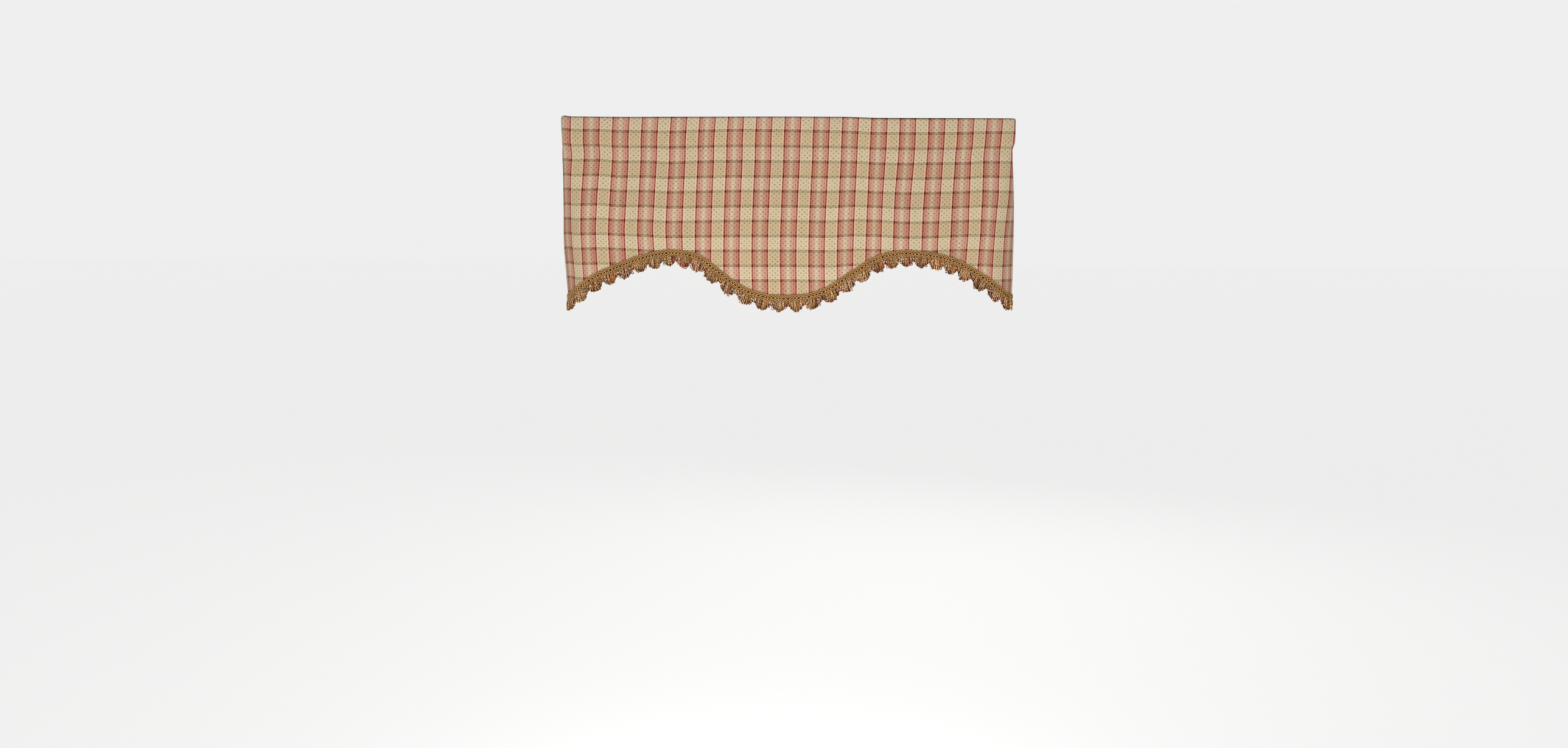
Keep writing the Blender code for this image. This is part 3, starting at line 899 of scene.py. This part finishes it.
def spun_yarn(path, out, radius, twist, sides, lobe=0.16, start=0.0, closed=False):
    """Two-ply yarns with a twist that shows.

    `path` holds points as (yarn, station, xyz) and `out` the way that faces the room at each of them. `twist`
    is the length of one turn. Gives points, faces, the map of (turns round, length) and each point's place in
    its ply, which is 1 at the crown of the first ply and 0 at the crown of the next.
    """
    yarns, stations = path.shape[:2]
    steps = np.linalg.norm(np.diff(path, axis=1), axis=2)
    length = np.concatenate([np.zeros((yarns, 1)), np.cumsum(steps, axis=1)], axis=1)[:, :, None]
    if closed:
        ahead = unit(np.roll(path, -1, axis=1) - np.roll(path, 1, axis=1))
        turns_made = np.arange(stations)[None, :, None] / stations * np.round(length[:, -1:] / twist)
    else:
        ahead = unit(np.gradient(path, axis=1))
        turns_made = length / twist
    across = unit(np.cross(ahead, out))
    front = np.cross(across, ahead)
    turn = np.arange(sides) / sides
    starts = np.broadcast_to(start, (yarns,))[:, None, None]
    phase = 2 * np.pi * (turn - turns_made - starts)
    size = np.broadcast_to(radius, (yarns, stations))[:, :, None] * (1 + lobe * np.cos(2 * phase))
    angle = 2 * np.pi * turn[:, None]
    ring = np.cos(angle) * across[:, :, None] + np.sin(angle) * front[:, :, None]
    points = path[:, :, None] + size[..., None] * ring
    numbers = np.arange(phase.size).reshape(phase.shape)
    mapped = np.stack(np.broadcast_arrays(turn + starts, length), axis=-1)
    return points, tube_faces(numbers, closed)[:, ::-1], mapped, 0.5 + 0.5 * np.cos(phase)


def dyed(ply, first, second, tone):
    """Colours of a yarn from two dyes, one for each ply."""
    share = smooth(0.35, 0.65, ply)[..., None]
    return (np.asarray(first) * share + np.asarray(second) * (1 - share)) * tone


def yarn_piece(name, parts, material):
    """One piece from several sets of yarns, each (points, faces, map, colours)."""
    points, faces, maps, colours = zip(*parts)
    starts = np.cumsum([0] + [part.size // 3 for part in points])
    faces = np.concatenate([part + start for part, start in zip(faces, starts)])
    piece = new_piece(name, np.concatenate([part.reshape(-1, 3) for part in points]), faces, material)
    store_map(piece.data, "yarn", np.concatenate([part.reshape(-1, 2) for part in maps]))
    store_colour(piece.data, "dye", np.concatenate([part.reshape(-1, 3) for part in colours]))
    return piece


def trim_yarn(hung, place, radius, twist, sides, below=None, **more):
    """Yarns of the trim: `place` is the (run, down, out) of their centre lines, and `below` how they hang."""
    run, down, out = place
    below = below or {}
    path = hung.on_trim(run, down, out, **below)
    room = unit(hung.on_trim(run, down, out + MM, **below) - path)
    return spun_yarn(path, room, radius, twist, sides, **more)


# ----------------------------------------------------------------------
# The braid

LINK_MIDDLE = 0.0086
LINK_HALF_WIDTH = 0.0008
LINK_YARN = 0.00066
LINK_OUT = 0.0021
LINK_STATIONS = 22
LINK_SIDES = 6
LINK_TURNS = 5

# How much the links differ: their size, the spread of their tilt and how bright they are
LINK_SIZES = (0.75, 1.12)
LINK_TILT = 0.22
LINK_TONES = (0.6, 1.6)

CORD_SIDES = 7
CORD_STATIONS = 9
TRIM_END = 0.0015

# The ground: upright ribs, and the lines that run along it. The first line and the last are its edges, which
# lie back.
RIBS_TO_LINK = 5
RIB_RISE = 0.0005
GROUND_FACE = 0.0007
GROUND_EDGE = 0.0004
GROUND_BACK = 0.0002
GROUND_LINES = (0.0003, 0.0004, 0.003, 0.006, 0.009, 0.012, 0.0145, 0.0164, 0.0165)
GROUND_ROW = 0.002

# Cords that run along the braid, each with one light ply. `down` is the middle of the cord, and `sway` is how
# far it swings each way over `links` links: the two that take two links cross between them, where `lift`
# brings one over the other. `nub` is how much the cord swells between the links.
BRAID_CORDS = table(
    "piece down sway links out lift radius nub twist second start",
    ("braid_edge_cords", 0.00105, 0.0, 1, 0.00150, 0.0, 0.00088, 0.34, 0.0045, "olive", 0.0),
    ("braid_edge_cords", 0.00300, 0.0, 1, 0.00165, 0.0, 0.00078, 0.40, 0.0045, "brown", 0.3),
    ("braid_cross_cords", LINK_MIDDLE, 0.0038, 2, 0.0021, 0.0006, 0.00108, 0.0, 0.0032, "gold", 0.1),
    ("braid_cross_cords", LINK_MIDDLE, -0.0038, 2, 0.0021, -0.0006, 0.00108, 0.0, 0.0032, "gold", 0.6),
    ("braid_wave_cord", 0.0150, 0.0017, 1, 0.0022, 0.0, 0.00082, 0.34, 0.0045, "olive", 0.4),
)


# Waves in the braid's pitch, which is never quite even: their size, rate and start
SLACK = ((0.0010, 205.0, 1.0), (0.0008, 91.0, 0.0))


def slack(run):
    """How far the links and the cords stray along the braid."""
    return sum(size * np.sin(run * rate + start) for size, rate, start in SLACK)


def make_braid_cord(hung, braid, cord):
    """One twisted cord that runs the length of the braid."""
    pitch = braid.link_pitch
    first, last = hung.trim_line[0] + TRIM_END, hung.trim_line[-1] - TRIM_END
    run = np.linspace(first, last, round((last - first) / (pitch / CORD_STATIONS)))[None, :]
    even = run - slack(run)
    wave = 2 * np.pi * even / (pitch * cord.links)
    down = cord.down + cord.sway * np.cos(wave)
    out = cord.out + cord.lift * np.sin(wave)
    radius = cord.radius * (1 - cord.nub * np.cos(2 * np.pi * even / pitch))
    place = (run, down, out)
    points, faces, mapped, ply = trim_yarn(hung, place, radius, cord.twist, CORD_SIDES, start=cord.start)
    return points, faces, mapped, dyed(ply, braid.light_gold, getattr(braid, cord.second), 1.0)


def make_links(hung, braid):
    """Upright oval links of dark yarn, one in each eye of the crossing cords."""
    rng = np.random.default_rng(7)
    half_width, half_height = LINK_HALF_WIDTH, braid.link_height / 2
    links = int((hung.trim_half - TRIM_END) / braid.link_pitch)
    even = np.arange(-links, links + 1)[:, None] * braid.link_pitch
    middle = even + slack(even)
    turn = np.linspace(0, 2 * np.pi, LINK_STATIONS, endpoint=False)[None, :]
    size = rng.uniform(*LINK_SIZES, middle.shape)
    lean = rng.normal(0, LINK_TILT, middle.shape)
    side, rise = half_width * size * np.cos(turn), half_height * size * np.sin(turn)
    place = (middle + side + lean * rise, LINK_MIDDLE + rise, LINK_OUT)
    twist = np.pi * (half_width + half_height) / LINK_TURNS
    points, faces, mapped, ply = trim_yarn(hung, place, LINK_YARN, twist, LINK_SIDES, closed=True)
    tone = rng.uniform(*LINK_TONES, (len(middle), 1, 1, 1))
    return points, faces, mapped, dyed(ply, braid.brown, braid.dark, tone)


def make_braid_ground(hung, braid):
    """The woven ground of the braid: a strip of close upright ribs."""
    rib = braid.link_pitch / RIBS_TO_LINK
    run = np.linspace(hung.trim_line[0], hung.trim_line[-1], round(2 * hung.trim_half / (rib / 2)))[None, :]
    down = np.array(GROUND_LINES)[:, None]
    high = np.where(np.arange(run.size) % 2 == 0, 1.0, 0.0)
    out = np.tile(GROUND_FACE + RIB_RISE * high, (len(down), 1))
    out[[0, -1]] = GROUND_EDGE
    front = hung.on_trim(run, down, out)
    behind = hung.on_trim(run, down[[0, -1]], np.full((2, run.size), GROUND_BACK))
    rows = np.concatenate([behind[:1], front, behind[1:]])
    count = len(rows)
    numbers = np.arange(count * run.size).reshape(count, -1)
    faces = np.concatenate([grid_faces(count, run.size), rim_faces(numbers[-1], numbers[0])])
    # The low ribs are painted darker, as shade between the raised ribs
    shade = (0.45 + 0.55 * high)[None, :, None] * np.ones((count, 1, 1))
    places = np.stack(np.broadcast_arrays(run / rib, np.arange(count)[:, None] * GROUND_ROW), axis=-1)
    return rows, faces[:, ::-1], places, np.asarray(braid.ground) * shade


def make_braid(hung, braid):
    """The braid: a ribbed ground, edge cords, crossing cords with dark links in their eyes and a wavy cord."""
    finish = yarn_finish("Braid yarn", roughness=0.8)
    ground = yarn_piece("braid_ground", [make_braid_ground(hung, braid)], finish)
    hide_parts("braid_heading")
    parts = {}
    for cord in BRAID_CORDS:
        parts.setdefault(cord.piece, []).append(make_braid_cord(hung, braid, cord))
    parts["braid_rings"] = [make_links(hung, braid)]
    for name, made in parts.items():
        yarn_piece(name, made, finish)


# ----------------------------------------------------------------------
# The loops

LOOP_STATIONS = 40
LOOP_SIDES = 7
LOOP_START = 0.0150
LOOP_LOBE = 0.22

# The share of a loop's length that is leg, on each side, before its round foot
LEG_SHARE = 0.36

# How much the loops of a layer differ: their places, their lengths, their curl, the length of a turn and how
# bright they are; and how far they fan out over a scallop
LOOP_STRAY = 0.18
LOOP_LENGTHS = (0.90, 1.05)
LOOP_CURL = 0.0012
LOOP_TWISTS = (0.006, 0.009)
LOOP_TONES = (0.75, 1.2)
LOOP_FAN = 0.06

# Loops come out of the braid at LOOP_ROOT, and hang free of it below LOOP_FREE
LOOP_ROOT = 0.0009
LOOP_FREE = 0.0055

# Shares of gold loops that a scallop may have, of loops whose first ply is a light one, and of loops whose
# feet are painted brown as shade under the loops; how far that painted shade goes towards brown; and how
# bright the sides are that face the wall
GOLD_SHARES = (0.9, 0.7, 0.4)
LIGHT_SHARE = 0.65
SHADED_TIP_SHARE = 0.6
TIP_SHADE = 0.8
WALL_TONE = 0.85

# The loops lie in three layers: how many there are to a scallop, how thick their yarn is, how far in front of
# the cloth they hang, their share of the full length, their narrowest and widest, how far apart their legs
# start, as a share of the width, how far they may turn and swing, and how bright their dye is. That brightness
# is painted light and shade: the back layer is painted dark as the shade in the gaps between the loops, the
# middle layer less dark, and the front layer painted bright as lit yarn.
LOOP_LAYERS = table(
    "count yarn out share narrow wide opening turn swing tone",
    (13, 0.00146, -0.0016, 0.93, 0.0019, 0.0023, 1.0, 0.1, 0.02, 0.21),
    (7, 0.00108, 0.0006, 0.95, 0.0040, 0.0064, 0.4, 0.8, 0.10, 0.72),
    (6, 0.00108, 0.0034, 1.00, 0.0046, 0.0074, 0.3, 0.7, 0.12, 1.26),
)


def loop_paths(length, width, open_at_top):
    """Centre lines of loops, flat: each goes down one side and up the other. Gives the side and the hang."""
    t = np.linspace(0, 1, LOOP_STATIONS)[None, :]
    # The two legs draw together at the top and open into a round at the foot
    in_round = (t > LEG_SHARE) & (t < 1 - LEG_SHARE)
    angle = np.pi * np.clip((t - LEG_SHARE) / (1 - 2 * LEG_SHARE), 0, 1)
    leg = np.clip(np.minimum(t, 1 - t) / LEG_SHARE, 0, 1)
    half = width[:, None] / 2
    opening = open_at_top + (1 - open_at_top) * smooth(0, 1, leg)
    side = np.where(in_round, -np.cos(angle) * half, np.where(t < 0.5, -1.0, 1.0) * opening * half)
    straight = length[:, None] - half
    hang = np.where(in_round, straight + np.sin(angle) * half, straight * leg)
    return side, hang


def make_bunch(hung, loops, scallop, layer, gold_share, rng):
    """One layer of the loops of one scallop."""
    count = layer.count
    places = (np.arange(count) + 0.5) / count
    places = places + rng.uniform(-LOOP_STRAY, LOOP_STRAY, count) / count
    middle = (scallop + places - loops.scallops / 2) * (FINISHED_WIDTH / loops.scallops)
    length = (loops.notch + (loops.longest - loops.notch) * np.sin(np.pi * places)) * layer.share
    length = length * rng.uniform(*LOOP_LENGTHS, count) + BRAID_HEIGHT - LOOP_START - layer.yarn
    width = rng.uniform(layer.narrow, layer.wide, count)
    turn = rng.uniform(-layer.turn, layer.turn, count)[:, None]
    swing = (rng.normal(0, layer.swing, count) + LOOP_FAN * np.cos(np.pi * places))[:, None]
    side, hang = loop_paths(length, width, layer.opening)
    done = hang / length[:, None]
    curl = rng.uniform(-1, 1, (count, 1)) * LOOP_CURL * np.sin(np.pi * done)
    across = side * np.cos(turn) - hang * swing + curl
    depth = LOOP_ROOT + (layer.out - LOOP_ROOT + side * np.sin(turn)) * smooth(0.0, LOOP_FREE, hang)
    above = BRAID_HEIGHT - LOOP_START
    place = (hung.run_at(middle)[:, None], LOOP_START + np.clip(hang, 0, above), depth)
    below = {"hang": np.clip(hang - above, 0, None), "across": across}
    twist = rng.uniform(*LOOP_TWISTS)
    spin = {"lobe": LOOP_LOBE, "start": rng.uniform(0, 1, count)}
    points, faces, mapped, ply = trim_yarn(hung, place, layer.yarn, twist, LOOP_SIDES, below, **spin)

    is_gold = rng.random((count, 1)) < gold_share
    light_first = rng.random((count, 1)) < LIGHT_SHARE
    gold = np.where(light_first, loops.light_gold, loops.gold)
    other = np.where(light_first, loops.beige, loops.rust)
    first = np.where(is_gold, gold, other)[:, None, None]
    second = np.where(rng.random((count, 1)) < 0.5, loops.rust, loops.brown)[:, None, None]
    # The sides of the yarn that face the room take the layer's painted light and shade; the sides that face
    # the wall keep an even tone
    to_wall = smooth(0.0, 0.8, -np.sin(2 * np.pi * np.arange(LOOP_SIDES) / LOOP_SIDES))[:, None]
    tone = rng.uniform(*LOOP_TONES, (count, 1, 1, 1)) * (layer.tone * (1 - to_wall) + WALL_TONE * to_wall)
    # The feet of some loops are painted brown towards their ends, as shade on their undersides
    shaded_tips = smooth(0.45, 1.0, done) * TIP_SHADE * (rng.random((count, 1)) < SHADED_TIP_SHARE)
    shaded_tips = shaded_tips[:, :, None, None]
    colours = dyed(ply, first, second, tone) * (1 - shaded_tips) + np.asarray(loops.brown) * tone * shaded_tips
    return points, faces, mapped, colours


def make_loops(hung, loops):
    """Looped yarn in scallops below the braid, three layers deep, in three lengths of trim."""
    rng = np.random.default_rng(11)
    finish = yarn_finish("Loop yarn", roughness=0.8)
    groups = {"left": [], "middle": [], "right": []}
    for scallop in range(loops.scallops):
        parts = list(groups.values())[(3 * scallop + 1) // loops.scallops]
        gold_share = rng.choice(GOLD_SHARES)
        for layer in LOOP_LAYERS:
            parts.append(make_bunch(hung, loops, scallop, layer, gold_share, rng))
    pieces = [yarn_piece("loops_" + place, parts, finish) for place, parts in groups.items()]
    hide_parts("loop_fringe")


# ----------------------------------------------------------------------
# Stitching

# A stitch stands up in an arch whose ends are sunk in the cloth. The seams stop short of the cloth's edges,
# and the pocket's seam lies in a groove.
STITCH_ARCH = 0.00025
STITCH_SINK = 0.00012
STITCH_END = 0.004
SEAM_GROOVE = 0.0010
SIDE_STITCH = 0.0105
SIDE_STITCH_TOP = 0.092
THREAD_RADIUS = 0.00022
THREAD_TWIST = 0.001


def make_stitches(hung, cloth):
    """The stitches of the pocket's seam, on the front and behind, and of the two side hems."""
    part = np.linspace(0, 1, 5)[None, :]
    arch = STITCH_ARCH * np.sin(np.pi * part) - STITCH_SINK
    half = HALF_WIDTH - STITCH_END
    along = np.arange(-half, half, cloth.stitch_pitch)[:, None] + cloth.stitch_length * part
    surfaces = (RIGHT_SIDE + SEAM_GROOVE - arch, SEAM_BACK - RIGHT_SIDE + arch)
    lines = [hung.place(along, POCKET_DROP, surface) for surface in surfaces]
    for side in (-1, 1):
        place = side * (HALF_WIDTH - SIDE_STITCH)
        foot = float(braid_top(np.array(place))) - STITCH_END
        drop = np.arange(SIDE_STITCH_TOP, foot, cloth.stitch_pitch)[:, None] + cloth.stitch_length * part
        lines.append(hung.place(place, drop, RIGHT_SIDE - arch))
    path = np.concatenate(lines)
    ahead = unit(np.gradient(path, axis=1))
    out = unit(np.cross(ahead, np.roll(ahead, 1, axis=2) + 0.1))
    points, faces, mapped, ply = spun_yarn(path, out, THREAD_RADIUS, THREAD_TWIST, 5, lobe=0.1)
    colours = np.asarray(cloth.thread) * np.ones(ply.shape + (1,))
    finish = yarn_finish("Sewing thread", roughness=0.6)
    yarn_piece("stitching", [(points, faces, mapped, colours)], finish)


# ----------------------------------------------------------------------
# Stage

CAMERA_PLACE = (-0.0082, -3.1463, -0.2408)
CAMERA_TILT = 7.52
CAMERA_ROLL = 0.3
CAMERA_LENS = 28
CAMERA_SENSOR = 36
FLOOR_DROP = 1.62
FLOOR_CLOUDS = 30.0
FLOOR_DULL = 0.97

# Between these heights of the sky, from 0 at the sides to 1 overhead, the studio's light falls off
STUDIO_FADE = (0.31, 0.42)

# Soft square lights: where each stands, what it is aimed at and how wide it is
LAMPS = table(
    "name place aim size power",
    ("low_front", (-0.05, -1.15, -1.2), (0.0, 0.0, -0.4), 1.0, "front_power"),
    ("side", (-2.4, -2.2, -0.3), (0.0, 0.0, -0.3), 1.0, "side_power"),
    ("back", (0.8, 2.2, 0.8), (0.0, 0.0, -0.25), 1.5, "back_power"),
)


def make_floor(stage):
    """A wide pale floor that gives back some light of its own, so it stays as pale as the studio far away."""
    finish = Finish("Pale floor", roughness=0.9)
    place = finish.parts(finish.node("NewGeometry").outputs["Position"])
    shade = tuple(stage.floor_colour)
    clouds = finish.noise(*(axis * FLOOR_CLOUDS for axis in place))
    colour = finish.mix(clouds, tuple(FLOOR_DULL * part for part in shade), shade)
    finish.shader.inputs["Emission Color"].default_value = (1, 1, 1, 1)
    finish.shader.inputs["Emission Strength"].default_value = stage.floor_glow
    half = stage.floor_size / 2
    corners = [(x, y, -FLOOR_DROP) for x, y in ((-half, -half), (half, -half), (half, half), (-half, half))]
    mesh_object("floor", corners, [(0, 1, 2, 3)], finish.finish(colour))


def make_studio(stage):
    """Light from all round, bright at the sides and dimmer overhead."""
    world = bpy.data.worlds.new("Studio")
    world.use_nodes = True
    tree = world.node_tree
    height = add_node(tree, "SeparateXYZ", add_node(tree, "TexCoord").outputs["Generated"]).outputs["Z"]
    fade = add_node(
        tree, "MapRange", height, *STUDIO_FADE, stage.surround, stage.overhead, interpolation_type="SMOOTHSTEP"
    )
    background = tree.nodes["Background"]
    background.inputs["Color"].default_value = (1, 1, 1, 1)
    tree.links.new(fade.outputs["Result"], background.inputs["Strength"])
    bpy.context.scene.world = world


def make_stage(stage):
    """A pale floor, soft lights and the camera."""
    make_floor(stage)
    make_studio(stage)
    scene = bpy.context.scene
    for row in LAMPS:
        lamp = bpy.data.lights.new(row.name, "AREA")
        lamp.shape = "SQUARE"
        lamp.size = row.size
        lamp.energy = getattr(stage, row.power)
        light = bpy.data.objects.new(row.name, lamp)
        light.location = row.place
        light.rotation_euler = (Vector(row.aim) - Vector(row.place)).to_track_quat("-Z", "Y").to_euler()
        light.visible_camera = False
        scene.collection.objects.link(light)

    lens = bpy.data.cameras.new("camera")
    lens.lens = CAMERA_LENS
    lens.sensor_width = CAMERA_SENSOR
    camera = bpy.data.objects.new("camera", lens)
    camera.matrix_world = (
        Matrix.Translation(CAMERA_PLACE)
        @ Matrix.Rotation(np.radians(90 - CAMERA_TILT), 4, "X")
        @ Matrix.Rotation(np.radians(CAMERA_ROLL), 4, "Z")
    )
    scene.collection.objects.link(camera)
    scene.camera = camera
    scene.view_settings.view_transform = "Standard"


# ----------------------------------------------------------------------
# Settings, operators and panel


def dye(red, green, blue, name, description):
    """A colour setting; the numbers are given as they are seen, from 0 to 255."""
    seen = np.array([red, green, blue]) / 255
    linear = np.where(seen <= 0.04045, seen / 12.92, ((seen + 0.055) / 1.055) ** 2.4)
    colour = {"subtype": "COLOR", "size": 3, "min": 0, "max": 1, "default": tuple(map(float, linear))}
    return bpy.props.FloatVectorProperty(name=name, description=description, **colour)


def metres(default, name, description, least=0.001):
    """A setting in metres."""
    limits = {"default": default, "min": least, "unit": "LENGTH", "precision": 4}
    return bpy.props.FloatProperty(name=name, description=description, **limits)


def strength(default, name, description, unit="NONE"):
    """A setting for the strength of a light."""
    return bpy.props.FloatProperty(name=name, description=description, default=default, min=0, unit=unit)


class ValanceCloth(bpy.types.PropertyGroup):
    """Yarns of the checked cloth, and its stitches."""

    brick: dye(139, 26, 10, "Brick", "Warp yarn of the dark lines that edge each red stripe")
    rose: dye(194, 94, 88, "Rose", "Main warp yarn of the red stripe")
    deep_rose: dye(178, 88, 77, "Deep rose", "Warp yarn of the pinstripes next to the rose")
    blush: dye(191, 124, 108, "Blush", "Warp yarn between the pinstripes")
    dusk: dye(178, 122, 102, "Dusk", "Warp yarn of the inner pinstripes")
    ecru: dye(192, 150, 125, "Ecru", "Warp yarn beside the pale middle")
    pale: dye(200, 168, 141, "Pale", "Warp yarn of the red stripe's middle")
    peach: dye(227, 185, 156, "Peach", "Warp yarn of the light lines beside the cream")
    cream: dye(202, 182, 143, "Cream", "Warp yarn of the ground between the red stripes")
    light: dye(220, 203, 174, "Light weft", "Weft yarn of the light bands")
    tan: dye(192, 166, 132, "Tan weft", "Weft yarn of the tan bands")
    olive: dye(100, 104, 66, "Olive weft", "Weft yarn of the cross lines")
    fleck: dye(238, 222, 180, "Fleck", "Flecks down the middle of the red stripe")
    dot: dye(136, 114, 92, "Dot", "How far the woven dots darken the cloth")
    wrong_side: dye(205, 180, 150, "Wrong side", "Colour that the wrong side fades towards")
    thread: dye(205, 180, 145, "Sewing thread", "Thread of the seams")
    stitch_length: metres(0.0026, "Stitch length", "Length of one stitch")
    stitch_pitch: metres(0.0032, "Stitch pitch", "Length from one stitch to the next")


class ValanceBraid(bpy.types.PropertyGroup):
    """Yarns and sizes of the braid."""

    light_gold: dye(240, 191, 124, "Light gold", "Bright ply of the cords")
    gold: dye(128, 80, 40, "Gold", "Second ply of the crossing cords")
    olive: dye(64, 38, 14, "Olive", "Dull ply of the upper and the wavy cord")
    brown: dye(104, 60, 26, "Brown", "Bright ply of the links and dull ply of the second cord")
    dark: dye(84, 42, 14, "Dark brown", "Dark ply of the links")
    # The ground's dye is its own brown, made darker as painted shade between the cords
    ground: dye(88, 50, 20, "Ground", "Ribs of the ground")
    link_pitch: metres(0.0090, "Link pitch", "Length from one dark link to the next", 0.004)
    link_height: metres(0.0054, "Link height", "Height of a dark link", 0.002)


class ValanceLoops(bpy.types.PropertyGroup):
    """Yarns and sizes of the loops."""

    light_gold: dye(226, 193, 144, "Light gold", "Light ply")
    gold: dye(200, 158, 98, "Gold", "Gold ply")
    rust: dye(164, 100, 64, "Rust", "Rust ply")
    brown: dye(102, 50, 24, "Brown", "Brown ply")
    beige: dye(218, 182, 150, "Beige", "Pale ply")
    longest: metres(0.028, "Longest loop", "How far below the braid a scallop hangs", 0.01)
    notch: metres(0.0085, "Shortest loop", "How far below the braid the notches between scallops are", 0.005)
    scallops: bpy.props.IntProperty(
        name="Scallops", description="How many scallops the loops hang in", default=32, min=3, max=60
    )


class ValanceStage(bpy.types.PropertyGroup):
    """Floor and lights."""

    floor_colour: dye(238, 238, 236, "Floor", "Colour of the floor")
    floor_size: metres(60.0, "Floor size", "Width of the floor", 2.0)
    floor_glow: strength(0.69, "Floor glow", "Light that the floor gives back of its own")
    surround: strength(0.86, "Surround", "Strength of the studio's light at the sides")
    overhead: strength(0.06, "Overhead", "Strength of the studio's light overhead")
    front_power: strength(14.2, "Front light", "Power of the low light in front", "POWER")
    side_power: strength(2.0, "Side light", "Power of the light at the left", "POWER")
    back_power: strength(12.0, "Back light", "Power of the light behind", "POWER")


class VALANCE_OT_stage(bpy.types.Operator):
    """Set the floor, the lights and the camera"""

    bl_idname = "valance.stage"
    bl_label = "Stage"

    def execute(self, context):
        make_stage(context.scene.valance_stage)
        return {"FINISHED"}


class VALANCE_OT_cloth(bpy.types.Operator):
    """Hang the checked cloth"""

    bl_idname = "valance.cloth"
    bl_label = "Cloth"

    def execute(self, context):
        make_cloth(HungCloth(), context.scene.valance_cloth)
        return {"FINISHED"}


class VALANCE_OT_braid(bpy.types.Operator):
    """Sew the braid on along the hem"""

    bl_idname = "valance.braid"
    bl_label = "Braid"

    def execute(self, context):
        make_braid(HungCloth(), context.scene.valance_braid)
        return {"FINISHED"}


class VALANCE_OT_loops(bpy.types.Operator):
    """Hang the looped yarn below the braid"""

    bl_idname = "valance.loops"
    bl_label = "Loops"

    def execute(self, context):
        make_loops(HungCloth(), context.scene.valance_loops)
        return {"FINISHED"}


class VALANCE_OT_stitches(bpy.types.Operator):
    bl_idname = "valance.stitches"
    bl_label = "Stitches"

    def execute(self, context):
        make_stitches(HungCloth(), context.scene.valance_cloth)
        objects = bpy.data.objects
        if "check_cloth" not in objects:
            raise RuntimeError("Make the cloth before its stitches")
        return {"FINISHED"}


class VALANCE_PT_sidebar(bpy.types.Panel):
    """Buttons for each part of the valance"""

    bl_label = "Valance"
    bl_idname = "VALANCE_PT_sidebar"
    bl_space_type = "VIEW_3D"
    bl_region_type = "UI"
    bl_category = "Valance"

    def draw(self, context):
        for operator in OPERATORS:
            self.layout.operator(operator.bl_idname)


SETTINGS = {
    "valance_cloth": ValanceCloth,
    "valance_braid": ValanceBraid,
    "valance_loops": ValanceLoops,
    "valance_stage": ValanceStage,
}
OPERATORS = (VALANCE_OT_stage, VALANCE_OT_cloth, VALANCE_OT_braid, VALANCE_OT_loops, VALANCE_OT_stitches)


def register():
    for cls in (*SETTINGS.values(), *OPERATORS, VALANCE_PT_sidebar):
        bpy.utils.register_class(cls)
    for name, cls in SETTINGS.items():
        setattr(bpy.types.Scene, name, bpy.props.PointerProperty(type=cls))


def unregister():
    for name in SETTINGS:
        delattr(bpy.types.Scene, name)
    for cls in (VALANCE_PT_sidebar, *reversed(OPERATORS), *reversed(SETTINGS.values())):
        bpy.utils.unregister_class(cls)


def main():
    register()
    for step in ("stage", "cloth", "braid", "loops", "stitches"):
        getattr(bpy.ops.valance, step)()


if __name__ == "__main__":
    main()
